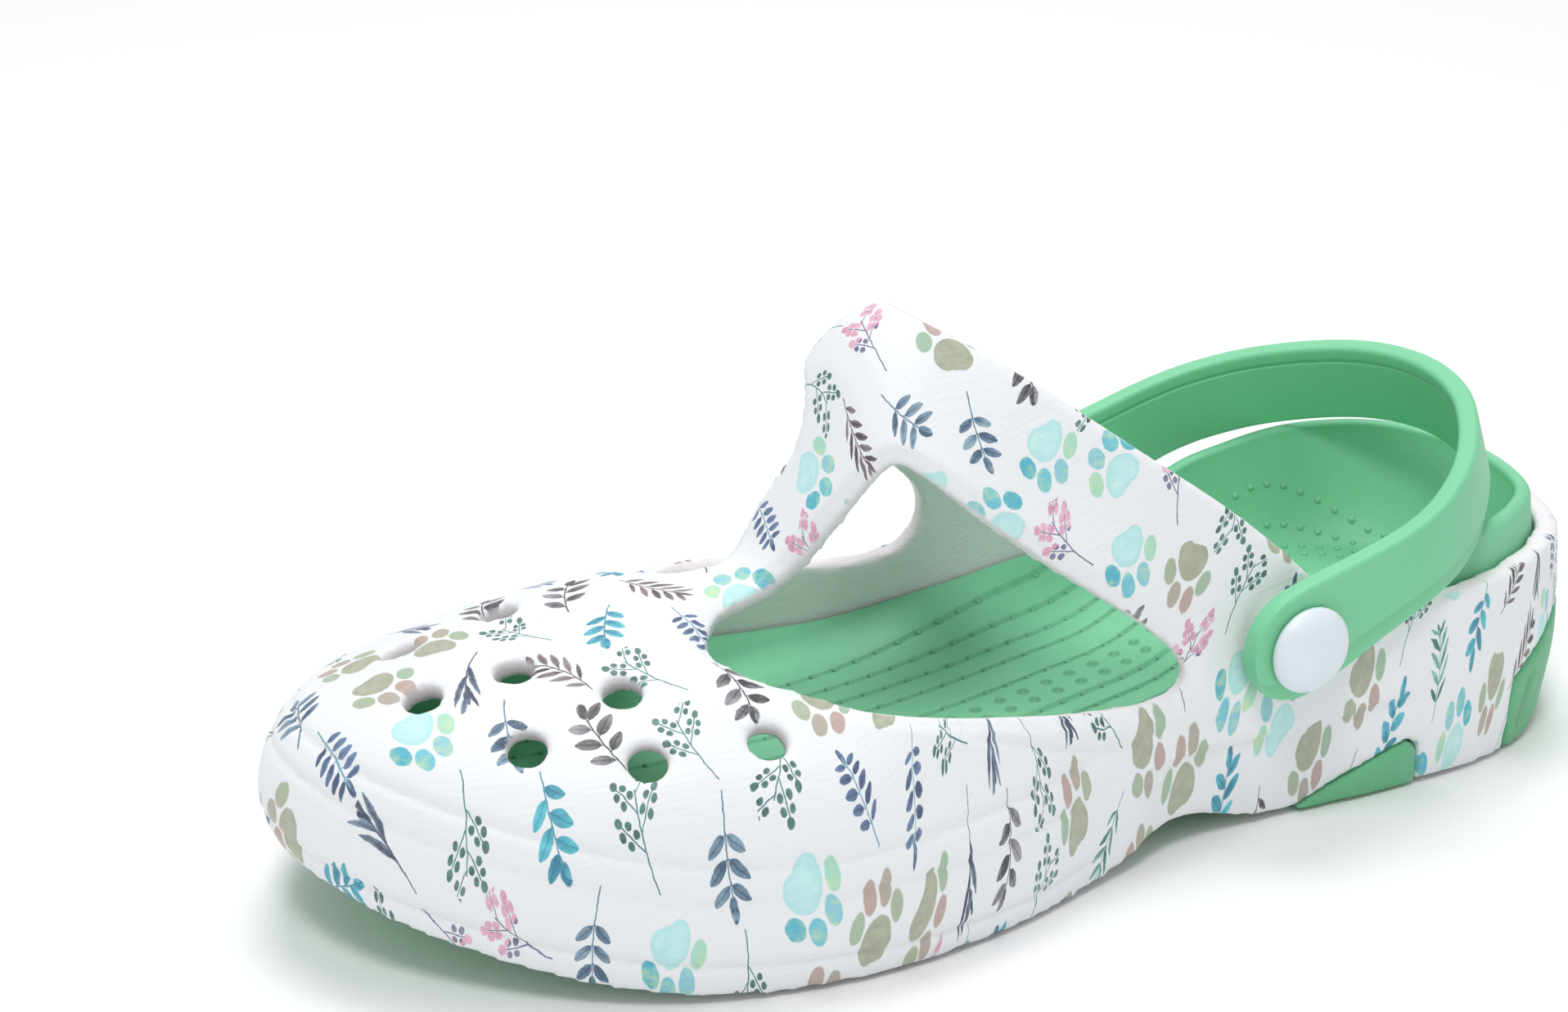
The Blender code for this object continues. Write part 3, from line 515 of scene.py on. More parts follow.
def inset_outline(outline, distance):
    """The outline moved inwards by a distance."""
    p = np.asarray(outline, float)
    edge = np.roll(p, -1, 0) - p
    turn = np.sign(np.sum(p[:, 0] * np.roll(p[:, 1], -1) - np.roll(p[:, 0], -1) * p[:, 1]))
    normal = np.column_stack([-edge[:, 1], edge[:, 0]]) * turn
    normal /= np.linalg.norm(normal, axis=1, keepdims=True)
    before = np.roll(normal, 1, 0)
    mitre = normal + before
    return p + mitre * distance / (1 + np.sum(normal * before, axis=1))[:, None]


def surface_of(obj):
    """The object's surface, in metres, for casting rays at."""
    return BVHTree.FromPolygons([v.co.copy() for v in obj.data.vertices],
                                [tuple(f.vertices) for f in obj.data.polygons])


def set_attribute(obj, name, values):
    """Per-point value: one number each, or three."""
    values = np.asarray(values, np.float32)
    kind = "FLOAT" if values.ndim == 1 else "FLOAT_VECTOR"
    layer = obj.data.attributes.new(name, kind, "POINT")
    layer.data.foreach_set("value" if kind == "FLOAT" else "vector", values.ravel())


# ---- the upper ----
def dome_sheet():
    """The wall's outer face as a sheet, closed along the ridge and open at the bottom."""
    grid = wall_grid(SHELL_STATIONS, SHELL_ROWS)
    grid[:, 0, 2] += RIM_LIFT
    count, rows = 2 * SHELL_STATIONS, SHELL_ROWS
    verts = [grid[s, j] for j in range(rows) for s in range(count)]
    ridge = len(verts)
    verts += [grid[k, rows] for k in range(SHELL_STATIONS + 1)]
    top = [ridge + (k if k <= SHELL_STATIONS else count - k) for k in range(count)]
    faces = []
    for j in range(rows):
        for s in range(count):
            n = (s + 1) % count
            a, b = j * count + s, j * count + n
            c, d = (top[n], top[s]) if j == rows - 1 else (b + count, a + count)
            faces.append((a, b, c, d))
    return new_object("upper_foam", verts, faces)


def window_cutter(name, face, side, window):
    """Body through a window, square to the wall's face at the rim and widening outwards; also the rim."""
    outline = closed_curve(window, 8)
    c, s = math.cos(WINDOW_TILT), math.sin(WINDOW_TILT)

    def level(t):
        return np.array([(side * (-w * s + t * c), y, w * c + t * s) for y, w in outline])

    far, near = level(110), level(32)
    rim, normal = far.copy(), np.zeros_like(far)
    for i, start in enumerate(far):
        hit, direction, _, _ = face.ray_cast(Vector(start) * MM, Vector((-side * c, 0, -s)))
        rim[i], normal[i] = np.array(hit) / MM, direction
    for _ in range(12):
        normal = (np.roll(normal, 1, 0) + normal + np.roll(normal, -1, 0)) / 3
    normal /= np.linalg.norm(normal, axis=1, keepdims=True)
    inner = rim - normal * (WALL + 2.5)
    middle = near.mean(axis=0)
    return loft(name, [far, rim + normal * 1.2, inner, middle + (near - middle) * 0.8]), rim


def opening_outline():
    """Side-view outline of the foot opening, smoothed along its lower edge."""
    return np.vstack([OPENING[:2], open_curve(OPENING[2:-2], 5), OPENING[-2:]])


def unrolled_print():
    """Flat print coordinates of the wall's grid: laid on from above and stretched down the sides.
    The climb of the T-bar adds its own length; the rand takes it up over the length of the windows."""
    along = np.linalg.norm(np.diff(FINE, axis=1), axis=2)
    climbed = np.cumsum(along[:, ::-1], axis=1)
    from_ridge = np.concatenate([np.zeros((len(FINE), 1)), climbed], axis=1)[:, ::-1]
    level = hermite((WALL_Y, SHOULDER_Z), FINE[:, 0, 1])[:, None]
    row = np.argmax(FINE[:, :, 2] > level, axis=1)
    shoulder = from_ridge[np.arange(len(FINE)), row][:, None]
    reach = np.minimum(from_ridge, shoulder) + SIDE_SCALE * np.maximum(from_ridge - shoulder, 0)
    top_line = FINE[:, -1:, :2]
    away = FINE[:, SHOULDER_ROW:SHOULDER_ROW + 1, :2] - top_line
    away /= np.linalg.norm(away, axis=2, keepdims=True)
    place = top_line + away * reach[:, :, None]
    y = np.linspace(-SPINE_HALF, SPINE_HALF, 400)
    added = np.hypot(np.diff(y), np.diff(hermite(RIDGE_Z, y))) - np.diff(y)
    climb = np.concatenate([[0], np.cumsum(added)])
    top = np.interp(FINE[:, -1:, 1], y, climb)
    rand = climb[-1] * smoothstep(-62, 26, FINE[:, :, 1])
    place[:, :, 1] += rand + (top - rand) * smoothstep(44, 56, FINE[:, :, 2])
    return np.concatenate([place, from_ridge[:, :, None]], axis=2)


def paint_wall(obj):
    """Puts the print's coordinates and the outer-face mask on a piece that follows the wall.
    Returns its points, the wall's normal at each and the depth of each below the wall's face."""
    points = points_of(obj)
    index, _ = nearest(points, FINE.reshape(-1, 3))
    s, r = np.divmod(index, FINE.shape[1])
    uv = unrolled_print()
    normal = FINE_NORMALS[s, r]
    offset = points - FINE[s, r]
    s1, s0 = (s + 1) % len(FINE), (s - 1) % len(FINE)
    r1, r0 = np.minimum(r + 1, ROWS), np.maximum(r - 1, 0)
    across, up = FINE[s1, r] - FINE[s0, r], FINE[s, r1] - FINE[s, r0]
    step_a, step_u = uv[s1, r] - uv[s0, r], uv[s, r1] - uv[s, r0]
    aa, uu, au, oa, ou = ((first * second).sum(1) for first, second in (
        (across, across), (up, up), (across, up), (offset, across), (offset, up)))
    det = np.maximum(aa * uu - au * au, 1e-6)
    a = np.clip((oa * uu - ou * au) / det, -0.6, 0.6)
    u = np.clip((ou * aa - oa * au) / det, -0.6, 0.6)
    depth = -(offset * normal).sum(1)
    set_attribute(obj, "print_place", uv[s, r] + a[:, None] * step_a + u[:, None] * step_u)
    set_attribute(obj, "outer_face", 1 - smoothstep(0.5, 1.7, depth))
    return points, normal, depth


def cut_openings(upper):
    """Cuts the openings, vents, bores and notches; returns the windows' rims as dense points."""
    face = surface_of(upper)
    boolean(upper, prism("foot_opening", opening_outline(), -80, 80))
    rims = []
    for label, side, window in (("left", 1, WINDOW_LEFT), ("right", -1, WINDOW_RIGHT)):
        cutter, rim = window_cutter(f"window_{label}", face, side, window)
        boolean(upper, cutter)
        rims += [rim + (np.roll(rim, -1, 0) - rim) * t for t in np.linspace(0, 1, 8, endpoint=False)]
    vents = []
    for i, (x, y) in enumerate(VENTS):
        hit, normal, _, _ = face.ray_cast(Vector((x, y, 200)) * MM, Vector((0, 0, -1)))
        vents.append(cylinder(f"vent_{i}", hit / MM - normal * 2, normal, VISUAL_VENT_R, 20))
    boolean(upper, join("vents", vents))
    bores = [cylinder(f"bore_{side}", on_axis(side * 40), (1, 0, 0), BORE_R, 30) for side in (1, -1)]
    boolean(upper, join("bores", bores))
    boolean(upper, prism("bumper_notch", BUMPER, -80, 80))
    notches = [prism(f"notch_{side}", WEDGE, side * 15, side * 80) for side in (1, -1)]
    boolean(upper, join("wedge_notches", notches))
    return np.vstack(rims)


def moulded_relief(points, depth, rims):
    """How far the upper's outer face sinks at each point."""
    x, y, z = points.T
    below = 1 - smoothstep(-0.5, 0.5, z - hermite(STEP_LINE, y))
    below *= between(y, (10, 20), (66, 92))
    crease = bell(z - hermite(CREASE_LINE, y), CREASE_WIDTH) * between(y, (-36, -20), (26, 38))
    sink = smoothstep(20, 30, abs(x)) * (STEP_SINK * below + CREASE_SINK * crease)
    above = z - ground_z(y)
    for level in RAND_LINES:
        wave = RAND_WAVE * np.sin(y / RAND_WAVELENGTH + level)
        sink += RAND_SINK * bell(above - level - wave, RAND_WIDTH) * (1 - smoothstep(-8, 12, y))
    _, from_rim = nearest(points, rims)
    sink += LIP_SINK * (1 - smoothstep(*LIP_EDGE, from_rim))
    return sink * (1 - smoothstep(0.6, 2.2, depth))


def build_upper():
    upper = dome_sheet()
    wall = upper.modifiers.new("foam wall", "SOLIDIFY")
    wall.thickness, wall.offset = WALL * MM, -1
    span = BOSS_FACE - BOSS_INNER
    for side, label in ((1, "left"), (-1, "right")):
        centre = on_axis(STRAP_CENTRE_X + side * (BOSS_FACE + BOSS_INNER) / 2)
        boolean(upper, cylinder(f"boss_{label}", centre, (1, 0, 0), BOSS_R, span), "UNION")
    rims = cut_openings(upper)
    remeshed(applied(upper), SHELL_VOXEL, SHELL_PASSES)
    points, normal, depth = paint_wall(upper)
    set_points(upper, points - normal * moulded_relief(points, depth, rims)[:, None])
    smooth_shading(upper)
    return upper


# ---- the sole unit ----
def build_sole():
    ground, top = ground_z(FINE[:, 0, 1]), hermite(SOLE_TOP, FINE[:, 0, 1])
    plug = WALL + GAP
    levels = [(plug + 0.9, ground), (plug, ground + 0.9), (plug, (ground + top) / 2), (plug, top - 0.6),
              (plug + 0.6, top)]
    sole = ring_solid("sole_unit", [ring_at(depth, z) for depth, z in levels])
    wedge = inset_outline(WEDGE, GAP)
    keeper = [prism(f"fill_{side}", wedge, side * 20, side * 80) for side in (1, -1)]
    keeper.append(prism("bumper_fill", inset_outline(BUMPER, GAP), -80, 80))
    cup = fill_cup(ground)
    boolean(cup, join("fills", keeper), "INTERSECT")
    boolean(sole, applied(cup), "UNION")
    boolean(sole, tread_cutters())
    remeshed(applied(sole), SOLE_VOXEL, SOLE_PASSES)
    points, normal, depth = paint_wall(sole)
    x, y, z = points.T
    seam = bell(y - SEAM_Y - (z - SEAM_Z) * SEAM_LEAN, SEAM_WIDTH) * between(z, (3, 6), (14, 17))
    sink = seam * (1 - smoothstep(1.5, 3, depth)) * smoothstep(15, 25, abs(x))
    set_points(sole, points - normal * sink[:, None])
    smooth_shading(sole)
    return sole


def fill_cup(ground):
    """Cup that follows the wall's face: the visible green fills are cut from it."""
    low = ground + 0.4
    levels = np.linspace(0, 1, 12)[:, None]
    outer = [ring_at(FLUSH, low + (BUMPER_TOP - low) * t) for t in levels]
    inner = [ring_at(WALL, BUMPER_TOP + (FILL_TOP + 6 - BUMPER_TOP) * t) for t in levels]
    inner.append(ring_at(WALL, np.maximum(FILL_TOP, low + 2)))
    return ring_solid("fill_cup", [ring_at(FLUSH + 0.6, ground)] + outer + inner)


def tread_cutters():
    """Straight grooves across the forefoot and the heel, inside the sole's edge."""
    edge = ring_at(WALL + GAP + TREAD_MARGIN, ground_z(FINE[:, 0, 1]) + 1)
    bars = []
    for i, y in enumerate(TREAD_Y):
        left = np.interp(y, edge[:STATIONS + 1, 1], edge[:STATIONS + 1, 0])
        order = edge[STATIONS:][::-1]
        right = np.interp(y, order[:, 1], order[:, 0])
        z, half = float(ground_z(np.array(y + 0.0))), TREAD_WIDTH / 2
        outline = [(y - half, z - 3), (y + half, z - 3), (y + half - 0.4, z + TREAD_DEPTH),
                   (y - half + 0.4, z + TREAD_DEPTH)]
        bars.append(prism(f"tread_{i}", outline, right, left))
    return join("tread_grooves", bars)


# ---- the footbed ----
def footbed_relief(x, y):
    """Height of the footbed's lines against its smooth floor, in millimetres: zero or less."""
    bend = x - hermite(LINE_BEND, y)
    lines = sum(bell(bend - line, LINE_WIDTH) for line in FOOTBED_LINES)
    away = np.hypot(x - HEEL_CENTRE[0], y - HEEL_CENTRE[1])
    slant = (x + SLANT_LEAN * y) / SLANT_PITCH
    slants = bell((slant - np.round(slant)) * SLANT_PITCH, LINE_WIDTH)
    slants *= smoothstep(HEEL_FROM, 72, y) * (1 - smoothstep(SLANT_R - 2, SLANT_R, away))
    return -LINE_DEPTH * lines * between(y, (-100, -84), (54, LINES_END)) - SLANT_DEPTH * slants


def nub_places(floor):
    """Points and normals of the nubs: evenly spaced on each line, and in arcs round the heel."""
    face = surface_of(floor)
    wanted = [(line + float(hermite(LINE_BEND, y)), y, 0.8)
              for line in FOOTBED_LINES for y in np.arange(FIRST_NUB, LAST_NUB, NUB_PITCH)]
    for arc in HEEL_ARCS:
        steps = round(2 * math.pi * arc / HEEL_PITCH)
        for angle in np.arange(steps) * 2 * math.pi / steps:
            y = HEEL_CENTRE[1] + arc * math.cos(angle)
            if y > HEEL_FROM - 2:
                wanted.append((HEEL_CENTRE[0] + arc * math.sin(angle), y, 0.1))
    places = []
    for x, y, least_upright in wanted:
        hit, normal = face.ray_cast(Vector((x, y, 90)) * MM, Vector((0, 0, -1)))[:2]
        if hit is not None and normal.z > least_upright:
            places.append((hit, normal))
    return places


def build_nubs(floor):
    """All the nubs as low domes sunk into the floor."""
    bm = bmesh.new()
    bmesh.ops.create_uvsphere(bm, u_segments=10, v_segments=6, radius=NUB_R)
    dome = np.array([v.co for v in bm.verts]) * (1, 1, NUB_FLAT)
    dome_faces = [[v.index for v in face.verts] for face in bm.faces]
    bm.free()
    verts, faces = [], []
    for point, normal in nub_places(floor):
        turn = np.array(normal.to_track_quat("Z", "Y").to_matrix())
        faces += [[len(verts) + i for i in face] for face in dome_faces]
        verts += list(dome @ turn.T + np.array(point) / MM)
    return new_object("nubs", verts, faces)


def footbed_rings():
    """Rings up the footbed's outside, over its rim and down to its floor, and the floor's first number."""
    y = FINE[:, 0, 1]
    under, floor = hermite(SOLE_TOP, y) + GAP, hermite(FOOTBED_FLOOR, y)
    rim = floor + ring_table(RIM_LATERAL, RIM_MEDIAL)
    depth = WALL + GAP + 0.1
    rings = [ring_at(depth + 0.8, under), ring_at(depth, under + 0.8)]
    rings += [ring_at(depth, under * (1 - t) + (rim - LIP_ROUND) * t) for t in (0.33, 0.66, 1)]
    cup = smoothstep(40, 62, y)  # 1 where the edge stands up as a cup with a rounded rim
    width = EDGE_WIDTH + (CUP_WALL - EDGE_WIDTH) * cup
    for turn in np.linspace(0.15, 1, 9):
        angle = turn * math.pi
        fall = cup if turn > 0.5 else 1.0
        rings.append(ring_at(depth + width / 2 * (1 - math.cos(angle)),
                             rim - LIP_ROUND * (1 - math.sin(angle)) * fall))
    inner, first = rings[-1], len(rings)
    slope = ring_table(SLOPE_LATERAL, SLOPE_MEDIAL)
    for t in np.linspace(0, 1, FLOOR_RINGS)[1:]:
        ring = moved_in(inner, slope * t)
        ring[:, 2] = floor + (inner[:, 2] - floor) * (1 - t) ** FLOOR_FALL
        rings.append(ring)
    return rings, first


def build_footbed():
    rings, first = footbed_rings()
    floor = ring_solid("footbed_floor", rings, FLOOR_COLUMNS)
    points = points_of(floor)
    inside = points[first * len(FINE):]
    level = 1 - smoothstep(10, 21, inside[:, 2] - hermite(FOOTBED_FLOOR, inside[:, 1]))
    inside[:, 2] += footbed_relief(inside[:, 0], inside[:, 1]) * level
    set_points(floor, points)
    footbed = join("footbed_foam", [floor, build_nubs(floor)])
    points = points_of(footbed)
    bend = points[:, 0] - hermite(LINE_BEND, points[:, 1])
    lines = np.array(FOOTBED_LINES)
    number = np.interp(bend, lines, np.arange(len(lines)))
    number += np.minimum(bend - lines[0], 0) / 6 + np.maximum(bend - lines[-1], 0) / 6
    spread = np.interp(bend, (lines[1:] + lines[:-1]) / 2, np.diff(lines))
    set_attribute(footbed, "relief_place", np.column_stack([number, spread, bend]))
    smooth_shading(footbed, 50)
    return footbed


# ---- the strap and rivets ----
def strap_profile(half):
    """Band section as (across, out), anticlockwise: a thin raised line near the top edge inside,
    and an outer face that steps in over its lower edge."""
    t = STRAP_THICK / 2
    r = min(1.1, half * 0.5)
    corner = [(math.cos(a), math.sin(a)) for a in np.linspace(0, math.pi / 2, 6)]
    step, drop = -half * 0.5, 1.5 * min(1, half / 8)
    rib = half - 3.2
    points = [(-half + r - r * c, -t + r - r * s) for c, s in corner]
    if half > 6:
        points += [(rib + across, -t + rise) for across, rise in
                   ((-1.1, 0), (-0.6, 0), (-0.3, 0.45), (0.3, 0.45), (0.6, 0), (1.1, 0))]
    else:
        points += [(half * share, -t) for share in (-0.3, -0.2, -0.1, 0.1, 0.2, 0.3)]
    points += [(half - r + r * s, -t + r - r * c) for c, s in corner]
    points += [(half - r + r * c, t - r + r * s) for c, s in corner]
    points += [(step + across, t - fall) for across, fall in
               ((1.3, 0), (0.6, 0.06), (0.1, drop * 0.5), (-0.4, drop - 0.06), (-1.0, drop))]
    points += [(-half + r - r * s, t - drop - r + r * c) for c, s in corner]
    return points


def build_strap():
    """U-shaped heel strap, modelled about the rivets' axis and turned up to its rest angle."""
    table = np.array(STRAP)
    right = table[-2::-1].copy()
    right[:, 1] *= -1
    path = open_curve(np.vstack([table, right]), 8)
    path[:, 2] = np.maximum(path[:, 2], 0.9)
    along = np.gradient(path[:, :2], axis=0)
    ends = path[:, 0] < 12  # straight where the band lies on the upper
    along[ends & (path[:, 1] > 0)] = (1, 0)
    along[ends & (path[:, 1] < 0)] = (-1, 0)
    along /= np.linalg.norm(along, axis=1, keepdims=True)
    out = np.column_stack([-along[:, 1], along[:, 0]])
    sections = [[(x + o[1] * rise, s + o[0] * rise, across) for across, rise in strap_profile(half)]
                for (s, x, half), o in zip(path, out)]
    strap = loft("strap_foam", sections)
    to_pivot = Matrix.Translation(Vector(on_axis(STRAP_CENTRE_X)) * MM)
    strap.data.transform(to_pivot @ Matrix.Rotation(REST_ANGLE, 4, "X"))
    holes = [cylinder(f"hole_{side}", on_axis(side * 45), (1, 0, 0), HOLE_R, 20) for side in (1, -1)]
    boolean(strap, join("strap_holes", holes))
    applied(strap)
    smooth_shading(strap, 32)
    return strap


def turned(name, profile, side, sides=96):
    """Turned piece on the rivet axis: profile of (x from the middle, radius), ends on the axis."""
    angles = [2 * math.pi * i / sides for i in range(sides)]
    m = len(profile) - 2
    verts = [(STRAP_CENTRE_X + side * x, PIVOT_Y + r * math.cos(a), PIVOT_Z + r * math.sin(a))
             for a in angles for x, r in profile[1:-1]]
    verts += [on_axis(STRAP_CENTRE_X + side * profile[k][0]) for k in (0, -1)]
    first, last = len(verts) - 2, len(verts) - 1
    faces = []
    for i in range(sides):
        k = (i + 1) % sides
        faces += [(i * m + j, i * m + j + 1, k * m + j + 1, k * m + j) for j in range(m - 1)]
        faces += [(first, i * m, k * m), (last, k * m + m - 1, i * m + m - 1)]
    obj = recalculate(new_object(name, verts, faces))
    smooth_shading(obj, 40)
    return obj


def build_rivet(label, side):
    """Button stud with a domed cap, and the clasp it snaps into."""
    face = STRAP[0][1] + STRAP_THICK / 2 + CLEARANCE
    seat = BOSS_INNER - CLEARANCE
    back = seat - CLASP_THICK
    tip = back + 0.9
    dome = [(face + 1.2 + (CAP_RISE - 0.1) * math.sin(a) ** 1.25, CAP_R * math.cos(a) ** 0.8)
            for a in np.linspace(0, math.pi / 2, 22)[:-1]]
    stud = [(tip, 0), (tip, POST_R - 0.4), (tip + 0.4, POST_R), (face, POST_R), (face, CAP_R - 0.9),
            (face + 0.15, CAP_R - 0.35), (face + 0.55, CAP_R - 0.05), *dome, (face + 1.1 + CAP_RISE, 0)]
    clasp = [(tip - 0.3, 0), (tip - 0.3, SOCKET_R), (seat, SOCKET_R), (seat, CLASP_R - 0.4),
             (seat - 0.15, CLASP_R - 0.1), (seat - 0.5, CLASP_R), (back + 0.6, CLASP_R),
             (back + 0.2, CLASP_R - 0.3), (back, CLASP_R - 1.1), (back - 0.3, 3.6), (back - 0.4, 3),
             (back - 0.4, 0)]
    return turned(f"rivet_button_{label}", stud, side), turned(f"rivet_socket_{label}", clasp, side)


# ---- node materials, written as arithmetic ----
def math_node(operation):
    """A method that adds a Math node of this kind."""
    def method(self, *others):
        return self.op(operation, *others)
    return method


class Field:
    """A value in a shader tree; arithmetic on it adds Math nodes."""

    __add__ = __radd__ = math_node("ADD")
    __sub__ = math_node("SUBTRACT")
    __mul__ = __rmul__ = math_node("MULTIPLY")
    __truediv__ = math_node("DIVIDE")
    __abs__ = math_node("ABSOLUTE")
    __lt__ = math_node("LESS_THAN")
    __gt__ = math_node("GREATER_THAN")
    floor = math_node("FLOOR")
    sqrt = math_node("SQRT")
    cos = math_node("COSINE")
    sin = math_node("SINE")
    max = math_node("MAXIMUM")
    mod = math_node("FLOORED_MODULO")

    def __init__(self, tree, socket):
        self.tree, self.socket = tree, socket

    def op(self, operation, *others, clamp=False):
        node = self.tree.nodes.new("ShaderNodeMath")
        node.operation, node.use_clamp = operation, clamp
        for place, value in zip(node.inputs, (self, *others)):
            if isinstance(value, Field):
                self.tree.links.new(value.socket, place)
            else:
                place.default_value = value
        return Field(self.tree, node.outputs[0])

    def constant(self, value):
        node = self.tree.nodes.new("ShaderNodeValue")
        node.outputs[0].default_value = value
        return Field(self.tree, node.outputs[0])

    def __rsub__(self, other):
        return self.constant(other).op("SUBTRACT", self)

    def clamp(self):
        return self.op("ADD", 0.0, clamp=True)

    def soft(self, width):
        """0 to 1 over this width, 0.5 at zero."""
        return self.op("MULTIPLY_ADD", 1 / width, 0.5, clamp=True)


def length(x, y):
    return (x * x + y * y).sqrt()


def ellipse(x, y, half_x, half_y):
    """1 in the middle, 0 on the edge."""
    return 1.0 - length(x / half_x, y / half_y)


def off(value, pitch):
    """How far a value is from the nearest multiple of a pitch."""
    return value - (value / pitch + 0.5).floor() * pitch


class Tree:
    """A material's node tree and the few nodes used here."""

    def __init__(self, name):
        self.material = bpy.data.materials.new(name)
        self.material.use_nodes = True
        self.tree = self.material.node_tree
        self.shader = self.tree.nodes["Principled BSDF"]

    def new(self, kind, **settings):
        node = self.tree.nodes.new(kind)
        for key, value in settings.items():
            setattr(node, key, value)
        return node

    def link(self, source, target):
        self.tree.links.new(source.socket if isinstance(source, Field) else source, target)

    def field(self, socket):
        return Field(self.tree, socket)

    def attribute(self, name, output="Vector"):
        return self.new("ShaderNodeAttribute", attribute_name=name).outputs[output]

    def split(self, socket):
        node = self.new("ShaderNodeSeparateXYZ")
        self.link(socket, node.inputs[0])
        return [self.field(out) for out in node.outputs]

    def combine(self, *values):
        node = self.new("ShaderNodeCombineXYZ")
        for place, value in zip(node.inputs, values):
            if isinstance(value, Field):
                self.link(value, place)
            else:
                place.default_value = value
        return node.outputs[0]

    def noise(self, place, scale, detail=2.0, roughness=0.5):
        node = self.new("ShaderNodeTexNoise")
        node.inputs["Scale"].default_value = scale
        node.inputs["Detail"].default_value = detail
        node.inputs["Roughness"].default_value = roughness
        self.link(place, node.inputs["Vector"])
        return self.field(node.outputs["Fac"])

    def random(self, place):
        node = self.new("ShaderNodeTexWhiteNoise", noise_dimensions="3D")
        self.link(place, node.inputs["Vector"])
        return self.field(node.outputs["Value"]), node.outputs["Color"]

    def table(self, choice, colours):
        """One of several colours by a choice from 0 to 1."""
        node = self.new("ShaderNodeValToRGB")
        ramp = node.color_ramp
        ramp.interpolation = "CONSTANT"
        while len(ramp.elements) < len(colours):
            ramp.elements.new(0.5)
        for i, colour in enumerate(colours):
            ramp.elements[i].position = i / len(colours)
            ramp.elements[i].color = (*colour, 1)
        self.link(choice, node.inputs[0])
        return node.outputs[0]

    def mix(self, factor, first, second, blend="MIX"):
        node = self.new("ShaderNodeMix", data_type="RGBA", blend_type=blend)
        for place, value in ((node.inputs[0], factor), (node.inputs[6], first), (node.inputs[7], second)):
            if isinstance(value, (Field, bpy.types.NodeSocket)):
                self.link(value, place)
            elif isinstance(value, (float, int)):
                place.default_value = value
            else:
                place.default_value = (*value, 1)
        return node.outputs[2]

    def bump(self, height, distance, strength=1.0, normal=None):
        node = self.new("ShaderNodeBump")
        node.inputs["Distance"].default_value = distance
        node.inputs["Strength"].default_value = strength
        self.link(height, node.inputs["Height"])
        if normal is not None:
            self.link(normal, node.inputs["Normal"])
        return node.outputs[0]

    def object_place(self):
        """Object coordinates in millimetres."""
        node = self.new("ShaderNodeTexCoord")
        scaled = self.new("ShaderNodeVectorMath", operation="SCALE")
        self.link(node.outputs["Object"], scaled.inputs[0])
        scaled.inputs["Scale"].default_value = 1 / MM
        return scaled.outputs[0]

    def set(self, **values):
        """Sets the shader's inputs: a number or a colour as it is, a socket or a field by a link."""
        for key, value in values.items():
            place = self.shader.inputs[key.replace("_", " ")]
            if isinstance(value, (Field, bpy.types.NodeSocket)):
                self.link(value, place)
            else:
                place.default_value = value


def motif_cells(t, place):
    """Local coordinates in each motif's cell, in millimetres, and the cell's random numbers."""
    u, v, _ = t.split(place)
    v = v / CELL_WIDE + 0.31
    row = v.floor()
    u = u / CELL_LONG + row.mod(2.0) * 0.5 + 0.17
    column = u.floor()
    first, colour = t.random(t.combine(column, row, 1.7))
    second, _ = t.random(t.combine(column, row, 5.1))
    _, g, b = t.split(colour)
    x = (v - row - 0.5) * CELL_WIDE
    y = (u - column - 0.5) * CELL_LONG
    turn = (b - 0.5) * 1.3 + (g > 0.5) * math.pi
    c, s = turn.cos(), turn.sin()
    return x * c - y * s, x * s + y * c, first, second


def fronds(x, y, angle, spacing, alternate):
    """Side shoots of a stem along y: place along and across the nearest shoot, and where that starts."""
    side = abs(x)
    q = y - side * angle.cos() / angle.sin() + (x > 0.0) * alternate * spacing * 0.5
    anchor = (q / spacing + 0.5).floor() * spacing
    return side / angle.sin() + (q - anchor) * angle.cos(), (q - anchor) * angle.sin(), anchor


